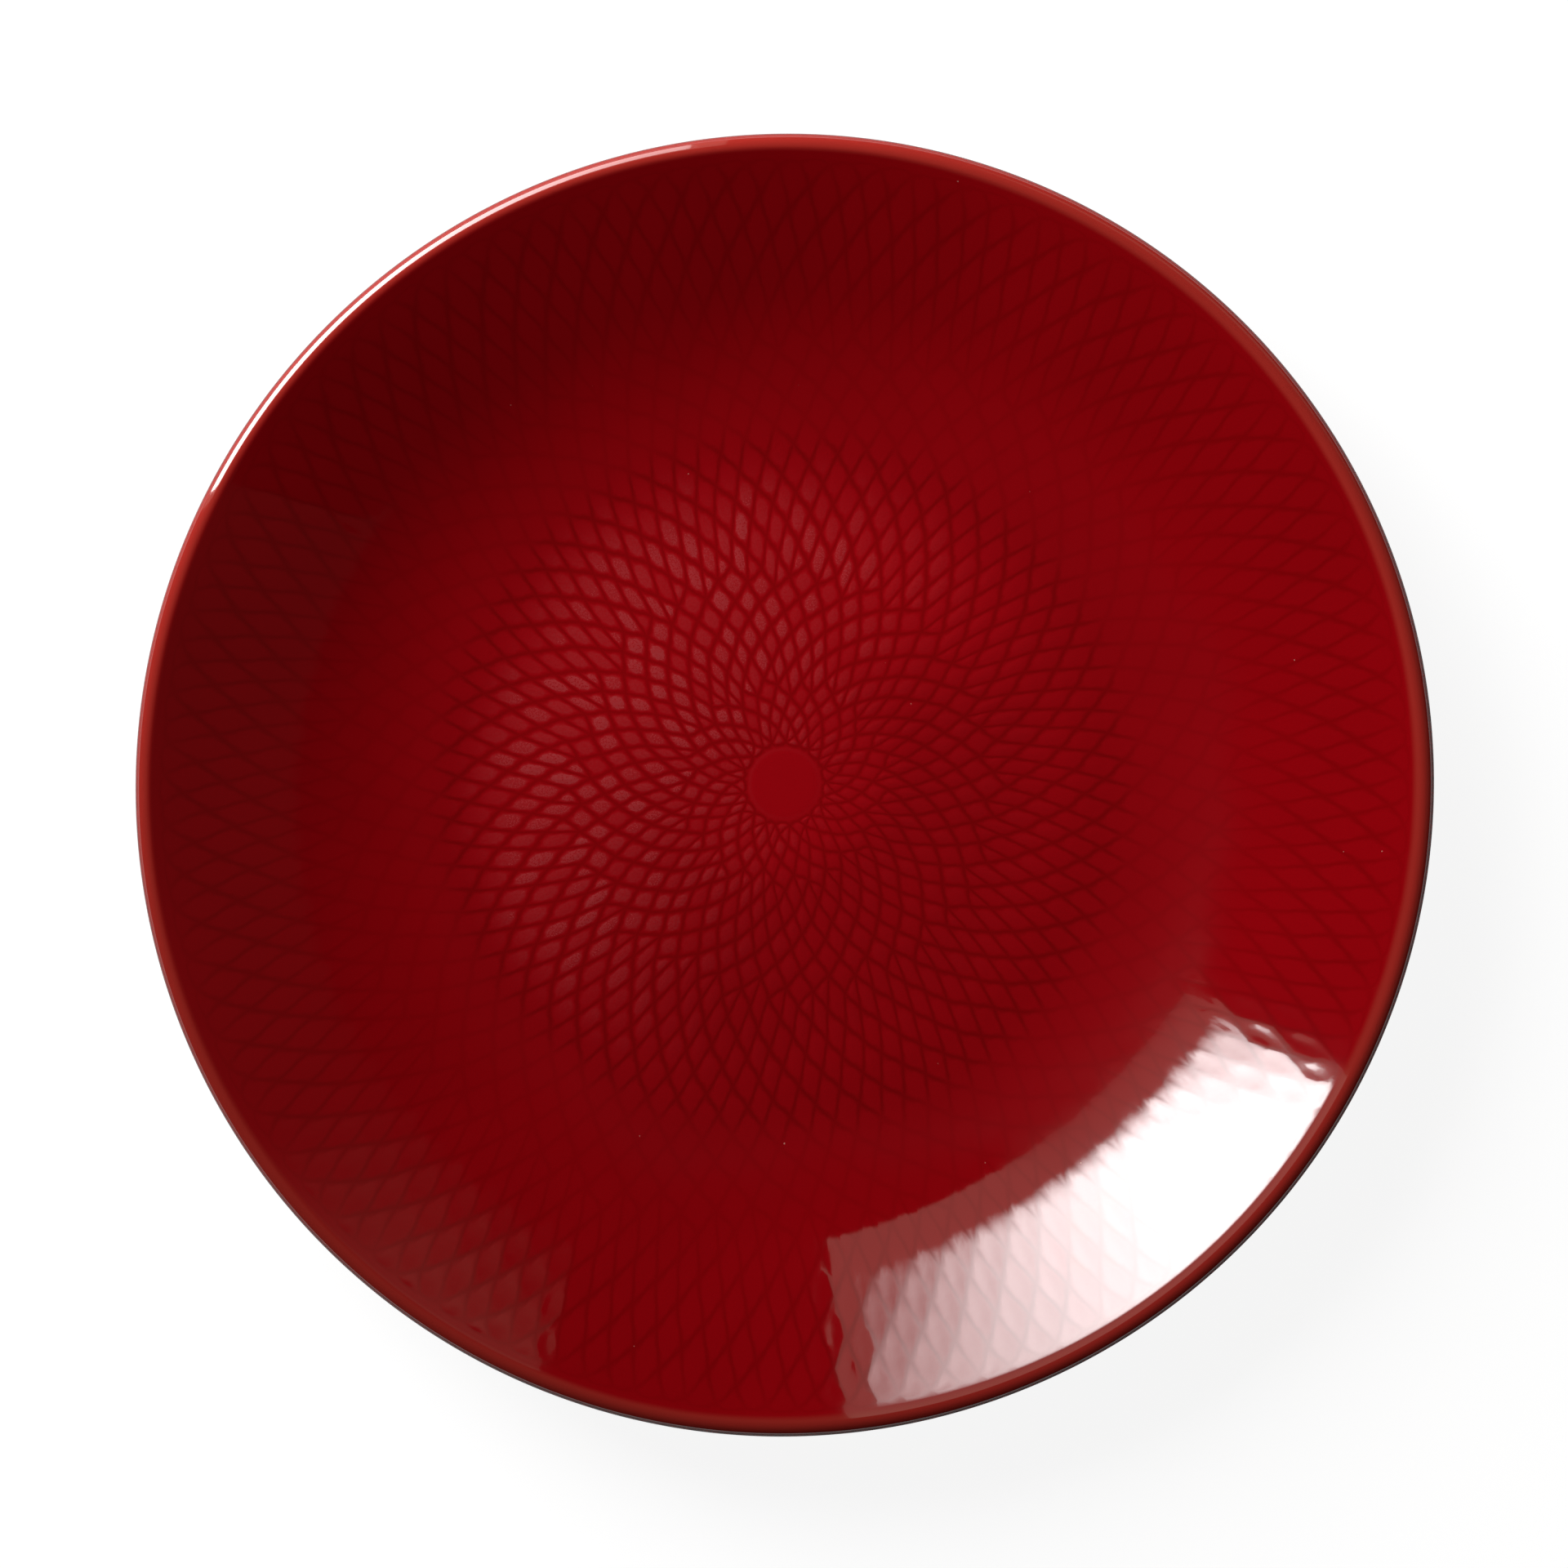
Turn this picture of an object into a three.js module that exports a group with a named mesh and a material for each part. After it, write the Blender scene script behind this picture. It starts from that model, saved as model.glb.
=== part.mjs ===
// A round coupe dinner plate: one thrown stoneware body under three coats of red glaze.
// The face is covered with small raised pads, laid out like the seeds of a sunflower head.
// Millimetres, +Z up. The origin is on the plate's axis, in the plane that the foot ring stands on.
import * as THREE from 'three';

// Driving dimensions of the whole plate
const plateDiameter = 270;
const plateHeight = 30;
const wellDiameter = 132; // the flat middle of the face, inside the rising wall
const heelRadius = 85; // bend of the face, from the flat well up to the straight wall
const floorThickness = 5; // clay under the well
const lipThickness = 3.6; // clay at the lip, where the wall has thinned out
const glazeThickness = 0.5;

// Foot ring
const footDiameter = 150;
const footWidth = 6;
const footHeight = 3.5;
const footChamfer = 0.8;
const bareFootHeight = 2; // the ring's lowest part is wiped clean of glaze

// Relief on the face
const buttonDiameter = 13; // plain round pad in the middle
const buttonGroove = 2; // width of the groove around the button
const lipBorder = 2; // plain band between the relief and the lip
const reliefHeight = 0.3; // from the bottom of a groove, which glaze has half filled, to the top of a pad
const padCount = 1300; // seeds from the middle to the border
const padGrowth = 0.78; // power of the seeds' radius: a higher one packs the middle more finely
const firstPadDepth = 1.6; // least depth of the pads that touch the button's groove
const lastPadDepth = 3; // least depth of the pads that touch the border

// Fineness of the curved surfaces
const facets = 64; // flat sides in one turn
const smallestStep = 1e-6; // profile points closer than this are one point
const buttonFacets = 32;
const heelSteps = 6;
const lipFaceSteps = 3; // from the top of the lip to its widest line
const lipBackSteps = 2; // from there to the underside
const backSteps = 5;

// Radii that follow from the diameters
const wellRadius = wellDiameter / 2;
const footOuterRadius = footDiameter / 2;
const footInnerRadius = footOuterRadius - footWidth;
const buttonRadius = buttonDiameter / 2;

// The lip is a round bead of clay. Its centre sits so that the glazed bead just reaches
// the plate's full diameter and full height.
const lipRadius = lipThickness / 2;
const glazedLipRadius = lipRadius + glazeThickness;
const lipCentreRadius = plateDiameter / 2 - glazedLipRadius;
const lipCentreHeight = plateHeight - glazedLipRadius;
const wellHeight = footHeight + floorThickness;

// The face is level in the well, bends up at the heel and runs straight to the lip's bead, and
// touches it without a corner. A short wall leaves no straight part: there the heel's bend is
// limited to the one arc that fits between well and bead.
const wallRun = lipCentreRadius - wellRadius;
const wallRise = lipCentreHeight + lipRadius - wellHeight;
const oneArcRadius = wallRun / Math.sin(2 * Math.atan(wallRise / wallRun)) - lipRadius;
const faceHeelRadius = Math.min(heelRadius, oneArcRadius);
const heelCentreDrop = lipCentreHeight - wellHeight - faceHeelRadius;
const centreSpacing = faceHeelRadius + lipRadius;
const straightWall = Math.sqrt(Math.max(0, wallRun ** 2 + heelCentreDrop ** 2 - centreSpacing ** 2));
const wallAngle = Math.atan2(heelCentreDrop, wallRun) + Math.atan2(centreSpacing, straightWall);

// The underside does the same round the floor's thickness, so the wall thins towards the lip.
const backEndRadius = lipCentreRadius + lipRadius * Math.sin(wallAngle);
const backEndHeight = lipCentreHeight - lipRadius * Math.cos(wallAngle);
const backRise = backEndHeight - footHeight;
const backHeelRadius = Math.min(faceHeelRadius + floorThickness, backRise / (1 - Math.cos(wallAngle)));
const backHeelRise = backHeelRadius * (1 - Math.cos(wallAngle));
const backHeelEnd = backEndRadius - (backRise - backHeelRise) / Math.tan(wallAngle);
const backStartRadius = backHeelEnd - backHeelRadius * Math.sin(wallAngle);

// Height of a line that is level as far as one radius, bends up there and then runs straight.
function bentHeight(radius, levelRadius, levelHeight, bendRadius) {
  const run = Math.max(0, radius - levelRadius);
  const bendRun = Math.min(run, bendRadius * Math.sin(wallAngle));
  const bendRise = bendRadius - Math.sqrt(bendRadius ** 2 - bendRun ** 2);
  return levelHeight + bendRise + (run - bendRun) * Math.tan(wallAngle);
}

// Height of the face at a radius, on a surface lifted off the clay by offset.
function faceHeight(radius, offset) {
  return bentHeight(radius, wellRadius, wellHeight + offset, faceHeelRadius - offset);
}

// Height of the underside at a radius, on a surface lowered off the clay by offset.
function backHeight(radius, offset) {
  return bentHeight(radius, backStartRadius, footHeight - offset, backHeelRadius + offset);
}

// A profile point is a radius and a height.
function at(radius, height) {
  return new THREE.Vector2(radius, height);
}

// Numbers spread evenly from one value to another, both ends included.
function spread(from, to, steps) {
  return Array.from({ length: steps + 1 }, (_, k) => THREE.MathUtils.lerp(from, to, k / steps));
}

// Points on the heel's bend, from the well's edge to the straight wall.
function heelProfile() {
  return spread(0, wallAngle, heelSteps).map((angle) => {
    const radius = wellRadius + faceHeelRadius * Math.sin(angle);
    return at(radius, faceHeight(radius, 0));
  });
}

// Points round the lip's bead. The angle is 0 on the face side and 180 degrees on the back.
function lipProfile(beadRadius, from, to, steps) {
  return spread(from, to, steps).map((angle) => {
    const radius = lipCentreRadius + beadRadius * Math.sin(angle - wallAngle);
    return at(radius, lipCentreHeight + beadRadius * Math.cos(angle - wallAngle));
  });
}

// Points on the underside from one radius to another.
function backProfile(fromRadius, toRadius, steps, offset) {
  return spread(fromRadius, toRadius, steps).map((radius) => at(radius, backHeight(radius, offset)));
}

// Points on the bend of the underside, from the straight wall in to the foot.
function backHeelProfile(toRadius, offset) {
  const straightEnd = backHeelEnd + offset * Math.sin(wallAngle);
  return backProfile(Math.max(straightEnd, toRadius), toRadius, backSteps, offset);
}

// One turn of points about the plate's axis, or a single point on it.
function ring(point, count = facets) {
  if (point.x === 0) return [new THREE.Vector3(0, 0, point.y)];
  return Array.from({ length: count }, (_, k) => {
    const angle = (2 * Math.PI * k) / count;
    return new THREE.Vector3(point.x * Math.cos(angle), point.x * Math.sin(angle), point.y);
  });
}

// How far round a loop its k-th point lies, counting on past a full turn.
function turnOf(loop, k) {
  const point = loop[k % loop.length];
  const angle = Math.atan2(point.y, point.x);
  const wholeTurns = Math.floor(k / loop.length) + (angle < 0 ? 1 : 0);
  return angle + 2 * Math.PI * wholeTurns;
}

// Triangles between two loops about the axis, which may have different numbers of points.
// They face up where the second loop is the wider one, and down where it is the narrower one.
function stitch(first, second) {
  const triangles = [];
  let i = first.length === 1 ? 1 : 0;
  let j = second.length === 1 ? 1 : 0;
  while (i < first.length || j < second.length) {
    const a = first[i % first.length];
    const b = second[j % second.length];
    const firstIsDone = i >= first.length;
    const secondIsBehind = j < second.length && turnOf(second, j + 1) <= turnOf(first, i + 1);
    if (firstIsDone || secondIsBehind) {
      j += 1;
      triangles.push([a, b, second[j % second.length]]);
    } else {
      i += 1;
      triangles.push([a, b, first[i % first.length]]);
    }
  }
  return triangles;
}

// The surface that a profile sweeps in one turn.
function revolve(profile) {
  const corners = profile.filter((p, k) => k === 0 || p.distanceTo(profile[k - 1]) > smallestStep);
  return corners.slice(1).flatMap((p, k) => stitch(ring(corners[k]), ring(p)));
}

// The same surface seen from its other side.
function reversed(triangles) {
  return triangles.map(([a, b, c]) => [a, c, b]);
}

// Relief: seeds on a spiral that turns by the golden angle each time are the crossings of the
// grooves. Those beyond the border or inside the button's groove are drawn in to its circle.
const goldenAngle = Math.PI * (3 - Math.sqrt(5));
const wallEndRadius = lipCentreRadius - glazedLipRadius * Math.sin(wallAngle);
const reliefOuterRadius = wallEndRadius - lipBorder;
const reliefInnerRadius = buttonRadius + buttonGroove;
const grooveOffset = glazeThickness;
const crestOffset = glazeThickness + reliefHeight;

function seedRadius(index) {
  if (index >= padCount) return reliefOuterRadius;
  const free = (reliefOuterRadius - lastPadDepth) * (Math.max(index, 0) / padCount) ** padGrowth;
  return free < reliefInnerRadius + firstPadDepth ? reliefInnerRadius : free;
}

function seed(index) {
  const radius = seedRadius(index);
  const angle = index * goldenAngle;
  const height = faceHeight(radius, grooveOffset);
  return new THREE.Vector3(radius * Math.cos(angle), radius * Math.sin(angle), height);
}

// The seeds numbered from first to first + count - 1, in order round the axis.
function seedLoop(first, count) {
  const loop = Array.from({ length: count }, (_, k) => seed(first + k));
  return loop.sort((a, b) => turnOf([a], 0) - turnOf([b], 0));
}

// One pad: its corners lie on the grooves, and its crest stands over their middle.
function pad(indices) {
  const corners = indices.map(seed);
  const middle = new THREE.Vector3();
  corners.forEach((corner) => middle.addScaledVector(corner, 1 / corners.length));
  const crest = middle.setZ(faceHeight(Math.hypot(middle.x, middle.y), crestOffset));
  return corners.map((corner, k) => [crest, corner, corners[(k + 1) % corners.length]]);
}

// Neighbouring seeds form two families of crossing spirals, one leaning left and one leaning
// right, whose numbers are neighbours in the Fibonacci series. They step up the series where the
// pads between them would get too long, and a row of three-sided pads lies along each step.
function sunflowerRelief() {
  const switchScale = (Math.sqrt(5) * padGrowth) / (2 * Math.PI);
  const indices = Array.from({ length: padCount }, (_, k) => k);
  const firstOutside = indices.find((k) => seedRadius(k) > reliefInnerRadius);
  let right = 2;
  let left = 3;
  const larger = () => Math.max(left, right);
  const switchIndex = () => Math.round(larger() ** 2 * switchScale - (left + right) / 2);
  const stepUp = () => {
    if (left < right) left += right;
    else right += left;
  };
  while (switchIndex() < firstOutside - left - right) stepUp();

  let index = firstOutside - left - right;
  const innerLoop = seedLoop(index, left + right);
  const triangles = [];
  while (index < padCount) {
    const last = Math.min(padCount, Math.max(index, switchIndex()));
    for (; index < last; index += 1) {
      triangles.push(...pad([index, index + right, index + left + right, index + left]));
    }
    if (index === padCount) break;
    for (let k = index; k < index + larger(); k += 1) {
      const corners = [k, k + right, k + left + right, k + left];
      triangles.push(...pad(corners.filter((corner) => corner !== k + larger())));
    }
    stepUp();
  }
  return { triangles, innerLoop, outerLoop: seedLoop(padCount, left + right) };
}

// The two coats on the outside meet in a level ring round the lip, where it is widest.
const lipTopAngle = wallAngle;
const partingAngle = lipTopAngle + Math.PI / 2;

function lipFaceProfile(beadRadius) {
  return [
    ...lipProfile(beadRadius, 0, lipTopAngle, 1),
    ...lipProfile(beadRadius, lipTopAngle, partingAngle, lipFaceSteps),
  ];
}

function lipBackProfile(beadRadius) {
  return lipProfile(beadRadius, partingAngle, Math.PI, lipBackSteps);
}

const clayParting = lipBackProfile(lipRadius)[0];

// Each surface where a coat lies on the clay is made once, and turned over for the coat.
const faceContact = revolve([at(0, wellHeight), ...heelProfile(), ...lipFaceProfile(lipRadius)]);

const backContact = revolve([
  ...lipBackProfile(lipRadius),
  ...backHeelProfile(footOuterRadius, 0),
  at(footOuterRadius, bareFootHeight),
]);

const footWellEdge = Math.min(backStartRadius, footInnerRadius);
const footWellContact = revolve([
  at(footInnerRadius, bareFootHeight),
  ...backProfile(footInnerRadius, footWellEdge, 1, 0),
  at(0, footHeight),
]);

function clayBodySurface() {
  const bareFoot = revolve([
    at(footOuterRadius, bareFootHeight),
    at(footOuterRadius, footChamfer),
    at(footOuterRadius - footChamfer, 0),
    at(footInnerRadius + footChamfer, 0),
    at(footInnerRadius, footChamfer),
    at(footInnerRadius, bareFootHeight),
  ]);
  return [...faceContact, ...backContact, ...bareFoot, ...footWellContact];
}

function faceGlazeSurface() {
  const relief = sunflowerRelief();
  const lipOutside = lipFaceProfile(glazedLipRadius);
  const crestHeight = wellHeight + crestOffset;
  const buttonEdge = ring(at(buttonRadius, crestHeight), buttonFacets);
  return [
    ...stitch(ring(at(0, crestHeight)), buttonEdge),
    ...stitch(buttonEdge, relief.innerLoop),
    ...relief.triangles,
    ...stitch(relief.outerLoop, ring(lipOutside[0])),
    ...revolve([...lipOutside, clayParting]),
    ...reversed(faceContact),
  ];
}

function backGlazeSurface() {
  const footSide = footOuterRadius + glazeThickness;
  const outside = revolve([
    clayParting,
    ...lipBackProfile(glazedLipRadius),
    ...backHeelProfile(footSide, glazeThickness),
    at(footSide, bareFootHeight),
    at(footOuterRadius, bareFootHeight),
  ]);
  return [...outside, ...reversed(backContact)];
}

function footWellGlazeSurface() {
  const footSide = footInnerRadius - glazeThickness;
  const wellEdge = Math.min(footWellEdge, footSide);
  const outside = revolve([
    at(footInnerRadius, bareFootHeight),
    at(footSide, bareFootHeight),
    ...backProfile(footSide, wellEdge, 1, glazeThickness),
    at(0, footHeight - glazeThickness),
  ]);
  return [...outside, ...reversed(footWellContact)];
}

// Finishes
const stoneware = new THREE.MeshStandardMaterial({ color: '#b08a68', roughness: 0.85, metalness: 0 });
const redGlaze = new THREE.MeshStandardMaterial({ color: '#83040c', roughness: 0.12, metalness: 0 });
const backRedGlaze = new THREE.MeshStandardMaterial({ color: '#6e050b', roughness: 0.16, metalness: 0 });

function piece(name, triangles, material) {
  const geometry = new THREE.BufferGeometry().setFromPoints(triangles.flat());
  geometry.computeVertexNormals();
  const mesh = new THREE.Mesh(geometry, material);
  mesh.name = name;
  return mesh;
}

const plate = new THREE.Group();
plate.add(piece('clay_body', clayBodySurface(), stoneware));
plate.add(piece('face_glaze', faceGlazeSurface(), redGlaze));
plate.add(piece('back_glaze', backGlazeSurface(), backRedGlaze));
plate.add(piece('foot_well_glaze', footWellGlazeSurface(), backRedGlaze));

export default plate;
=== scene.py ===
# %% [markdown]
# # A red stoneware plate with a seed-head relief
# This notebook dresses a coupe dinner plate: a shallow round plate with a flat middle, a heel
# that bends up, a sloping wall and a rounded lip. The solids of the plate are already made, and they
# arrive here as a fixed frame. Blender's job is the surface: a thick red glaze that pools in the
# grooves of a low relief, breaks brown over the lip and stops short of a bare foot ring.
# The first cell loads the frame and keeps the box of the solids. Blender works in metres, so a
# millimetre is 0.001.

# %% Load the frame
import math
import random

import bpy
from mathutils import Matrix, Vector


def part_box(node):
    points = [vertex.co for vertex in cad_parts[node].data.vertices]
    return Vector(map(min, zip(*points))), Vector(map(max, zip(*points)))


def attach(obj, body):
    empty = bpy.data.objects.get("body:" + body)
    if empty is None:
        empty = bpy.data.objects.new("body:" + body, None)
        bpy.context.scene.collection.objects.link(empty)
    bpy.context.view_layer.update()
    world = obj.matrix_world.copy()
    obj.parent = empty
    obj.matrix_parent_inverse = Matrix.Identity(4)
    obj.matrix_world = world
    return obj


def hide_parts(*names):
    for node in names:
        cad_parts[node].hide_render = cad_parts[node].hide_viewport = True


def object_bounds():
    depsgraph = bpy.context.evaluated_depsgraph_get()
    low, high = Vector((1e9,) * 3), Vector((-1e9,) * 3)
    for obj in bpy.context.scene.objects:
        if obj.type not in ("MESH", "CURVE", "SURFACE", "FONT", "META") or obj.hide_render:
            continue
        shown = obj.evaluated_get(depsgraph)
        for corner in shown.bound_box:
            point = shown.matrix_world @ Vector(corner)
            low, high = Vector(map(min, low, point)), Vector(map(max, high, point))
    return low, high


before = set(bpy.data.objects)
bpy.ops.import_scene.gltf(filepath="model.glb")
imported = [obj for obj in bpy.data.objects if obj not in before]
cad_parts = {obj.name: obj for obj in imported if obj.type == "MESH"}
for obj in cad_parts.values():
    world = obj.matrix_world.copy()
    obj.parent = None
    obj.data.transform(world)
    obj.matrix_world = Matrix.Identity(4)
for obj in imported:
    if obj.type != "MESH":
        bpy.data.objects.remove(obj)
cad_low, cad_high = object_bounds()
MM = 0.001
print("box of the solids in mm:", [round(side / MM, 1) for side in cad_high - cad_low])

# %% [markdown]
# ## The camera
# The photograph looks straight down on the plate through a long lens, so the outline is a circle
# and the wall is seen almost without perspective. An orthographic camera would give that outline
# too, but it would see every reflection from one single direction, and on a glossy plate the
# reflections carry half of the picture. So this is a perspective camera, far off, with its lens
# worked out from how much of the frame the plate fills. The button in the middle lies below the
# lip and shows a little off the outline's centre, so the camera leans by the angle that moves it.

# %% Camera
PHOTO_WIDTH = 1920
PLATE_WIDTH_IN_PHOTO = 1593.5
CAMERA_DISTANCE = 1.5
CAMERA_LEAN = math.radians(2.35)
LEAN_DIRECTION = math.radians(107)
AIM = (-0.3 * MM, 0.7 * MM)  # what lies in the picture's middle
SENSOR_WIDTH = 36.0

plate_radius = cad_high.x
lip_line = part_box("back_glaze")[1].z  # the widest line of the lip, where the two coats meet
frame_width = 2 * plate_radius * PHOTO_WIDTH / PLATE_WIDTH_IN_PHOTO

camera_data = bpy.data.cameras.new("camera")
camera_data.sensor_width = SENSOR_WIDTH
camera_data.lens = SENSOR_WIDTH * CAMERA_DISTANCE / frame_width
camera = bpy.data.objects.new("camera", camera_data)
bpy.context.scene.collection.objects.link(camera)
bpy.context.scene.camera = camera

towards_camera = Vector((
    math.sin(CAMERA_LEAN) * math.cos(LEAN_DIRECTION),
    math.sin(CAMERA_LEAN) * math.sin(LEAN_DIRECTION),
    math.cos(CAMERA_LEAN),
))
image_right = Vector((0, 1, 0)).cross(towards_camera).normalized()
image_up = towards_camera.cross(image_right)
place = Vector((*AIM, lip_line)) + towards_camera * CAMERA_DISTANCE
turn = Matrix((image_right, image_up, towards_camera)).transposed()
camera.matrix_world = Matrix.Translation(place) @ turn.to_4x4()
print("lens in mm:", round(camera_data.lens))

# %% [markdown]
# ## The plate's sections
# A plate is thrown on a wheel, so one section says nearly everything about it. The boxes of the
# solids give most of that section: the height of the well, the thickness of the glaze, the radius
# of the bead that forms the lip. The rest are six sizes of the plate's own.
# The face is level in the well, bends up at the heel on one arc and goes on to the lip on a much
# larger one. That large arc is nearly straight, but not quite: a truly straight wall would lose
# the lamp's reflection towards the lip, where a camera overhead sees the wall more steeply.

# %% Sizes of the section
WELL_RADIUS = 64 * MM
HEEL_RADIUS = 100 * MM
WALL_RADIUS = 880 * MM
FLOOR_THICKNESS = 5 * MM
FOOT_OUTER_RADIUS = 75 * MM
FOOT_ROUNDING = 0.8 * MM

glaze = plate_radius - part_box("clay_body")[1].x
glazed_bead = cad_high.z - lip_line
bead = glazed_bead - glaze
lip_radius = plate_radius - glazed_bead
well_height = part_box("face_glaze")[0].z
foot_height = well_height - FLOOR_THICKNESS
foot_inner_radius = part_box("foot_well_glaze")[1].x
bare_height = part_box("foot_well_glaze")[0].z
print("glaze and bead in mm:", round(glaze / MM, 2), round(bead / MM, 2))

# %% Arcs of the section
# The wall's arc touches the heel's arc on one side and the lip's bead on the other.
heel_centre = Vector((WELL_RADIUS, well_height + HEEL_RADIUS))
bead_centre = Vector((lip_radius, lip_line))
to_bead = bead_centre - heel_centre
radius_step = WALL_RADIUS - HEEL_RADIUS
reach = ((WALL_RADIUS + bead) ** 2 - to_bead.length_squared - radius_step ** 2) / (2 * radius_step)
heel_angle = math.atan2(to_bead.y, to_bead.x) + math.asin(reach / to_bead.length)
wall_centre = heel_centre + radius_step * Vector((-math.sin(heel_angle), math.cos(heel_angle)))
wall_angle = math.atan2(lip_radius - wall_centre.x, wall_centre.y - lip_line)

# The underside follows at the thickness of the lip on the wall, and of the floor in the middle.
back_wall_radius = WALL_RADIUS + 2 * bead
back_heel_radius = HEEL_RADIUS + FLOOR_THICKNESS
back_step = back_wall_radius - back_heel_radius
back_drop = wall_centre.y - foot_height - back_heel_radius
back_level_radius = wall_centre.x + math.sqrt(back_step ** 2 - back_drop ** 2)
back_end_radius = lip_radius + bead * math.sin(wall_angle)
slopes = [round(math.degrees(angle), 1) for angle in (heel_angle, wall_angle)]
print("slope in degrees at the heel and at the lip:", slopes)


# %% Lines of the section
def spread(start, end, steps):
    """Numbers spread evenly from one value to another, both ends included."""
    return [start + (end - start) * k / steps for k in range(steps + 1)]


def heel_end(level_radius, bend, arc):
    """Radius at which a bend meets the wall's arc."""
    return wall_centre.x + (level_radius - wall_centre.x) * arc / (arc - bend)


def bent_height(radius, level_radius, level_height, bend, arc):
    """Height of a line that is level, bends up on one arc and goes on along the wall's arc."""
    if radius > heel_end(level_radius, bend, arc):
        return wall_centre.y - math.sqrt(arc ** 2 - (radius - wall_centre.x) ** 2)
    run = max(0.0, radius - level_radius)
    return level_height + bend - math.sqrt(bend ** 2 - run ** 2)


def face_height(radius, lift):
    """Height of the face at a radius, on a surface lifted off the clay."""
    return bent_height(radius, WELL_RADIUS, well_height + lift, HEEL_RADIUS - lift, WALL_RADIUS - lift)


def back_height(radius, drop):
    """Height of the underside at a radius, on a surface lowered off the clay."""
    bend, arc = back_heel_radius + drop, back_wall_radius + drop
    return bent_height(radius, back_level_radius, foot_height - drop, bend, arc)


def back_section(start, end, steps, drop):
    """Points along the underside, from one radius to another."""
    return [(radius, back_height(radius, drop)) for radius in spread(start, end, steps)]


def bead_section(radius, start, end, steps):
    """Points round the lip's bead: the angle is 0 on the face side and half a turn on the back."""
    return [
        (lip_radius + radius * math.sin(angle - wall_angle),
         lip_line + radius * math.cos(angle - wall_angle))
        for angle in spread(start, end, steps)
    ]


coat_heel_end = heel_end(WELL_RADIUS, HEEL_RADIUS - glaze, WALL_RADIUS - glaze)
print("the heel ends", round(coat_heel_end / MM, 1), "mm off the axis,",
      round(face_height(coat_heel_end, glaze) / MM, 1), "mm above the table")


# %% [markdown]
# ## How the kiln moved it
# No fired plate is quite round. In the photograph the outline is an ellipse, 0.6 percent longer
# one way than the other. Every finished mesh goes through the same small stretch, so coats and
# clay stay seated on each other. The same helper turns a piece with modifiers into a plain mesh,
# because what leaves this scene has to stand without them.

# %% Kiln warp and meshes
WARP = 0.0031
WARP_DIRECTION = math.radians(66)
warp_along = Vector((math.cos(WARP_DIRECTION), math.sin(WARP_DIRECTION), 0))
warp_across = Vector((-warp_along.y, warp_along.x, 0))


def piece_from(name, points, faces):
    """A new object at the origin with its place in its mesh."""
    mesh = bpy.data.meshes.new(name)
    mesh.from_pydata(points, [], faces)
    mesh.shade_smooth()
    piece = bpy.data.objects.new(name, mesh)
    bpy.context.scene.collection.objects.link(piece)
    return piece


def fired(piece):
    """The piece as it comes out of the kiln: a plain mesh, a little out of round."""
    evaluated = piece.evaluated_get(bpy.context.evaluated_depsgraph_get())
    mesh = bpy.data.meshes.new_from_object(evaluated)
    piece.modifiers.clear()
    piece.data = mesh
    for vertex in mesh.vertices:
        along, across = vertex.co.dot(warp_along), vertex.co.dot(warp_across)
        vertex.co += warp_along * (WARP * along) - warp_across * (WARP * across)
    print(piece.name, "has", len(mesh.vertices), "points and", len(mesh.polygons), "faces")
    return piece


# %% [markdown]
# ## The seed-head layout
# The relief follows the rule by which a sunflower packs its seeds: each seed is turned from the
# one before by the golden angle and lies a little further out. Seeds whose numbers differ by
# neighbours of the Fibonacci series lie next to each other, so they form crossing spirals, and
# the four-sided cells between the spirals are the pads. Where those cells would get too long the
# spirals step up the series, and one row of three-sided pads lies along the step. They step up a
# little sooner here than square cells would ask, so the pads come out longer than wide, as seeds
# are. A grid in rings would be simpler, but its pads would grow with the radius; this rule keeps
# them nearly even. A steady hand cuts such grooves almost evenly, so each crossing wanders by a
# fraction of a millimetre, drawn from a fixed seed.

# %% Seeds
GOLDEN_ANGLE = math.pi * (3 - math.sqrt(5))
SEED_COUNT = 1700
PAD_GROWTH = 0.78
PAD_STRETCH = 1.4
BUTTON_RADIUS = 6.5 * MM
BUTTON_GROOVE = 2 * MM
LIP_BORDER = 2 * MM
FIRST_PAD_DEPTH = 1.4 * MM
LAST_PAD_DEPTH = 2.4 * MM
HAND_WOBBLE = 0.4 * MM

wall_end_radius = lip_radius - glazed_bead * math.sin(wall_angle)
relief_outer = wall_end_radius - LIP_BORDER
relief_inner = BUTTON_RADIUS + BUTTON_GROOVE
hand = random.Random(11)
wobbles = [(hand.uniform(-1, 1), hand.uniform(-1, 1)) for _ in range(SEED_COUNT)]


def polar(radius, angle, height):
    """A point at a radius from the plate's axis, an angle round it and a height."""
    return (radius * math.cos(angle), radius * math.sin(angle), height)


def seed_radius(index):
    """Seeds past the border or inside the button's groove are drawn in to its circle."""
    if index >= SEED_COUNT:
        return relief_outer
    free = (relief_outer - LAST_PAD_DEPTH) * (max(index, 0) / SEED_COUNT) ** PAD_GROWTH
    return relief_inner if free < relief_inner + FIRST_PAD_DEPTH else free


def seed_point(index):
    """A groove crossing on the glaze, where the hand put it."""
    radius = seed_radius(index)
    angle = index * GOLDEN_ANGLE
    if relief_inner < radius < relief_outer:
        radius += wobbles[index][0] * HAND_WOBBLE
        angle += wobbles[index][1] * HAND_WOBBLE / radius
    return polar(radius, angle, face_height(radius, glaze))


print("relief from", round(relief_inner / MM, 1), "to", round(relief_outer / MM, 1), "mm off the axis")


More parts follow.
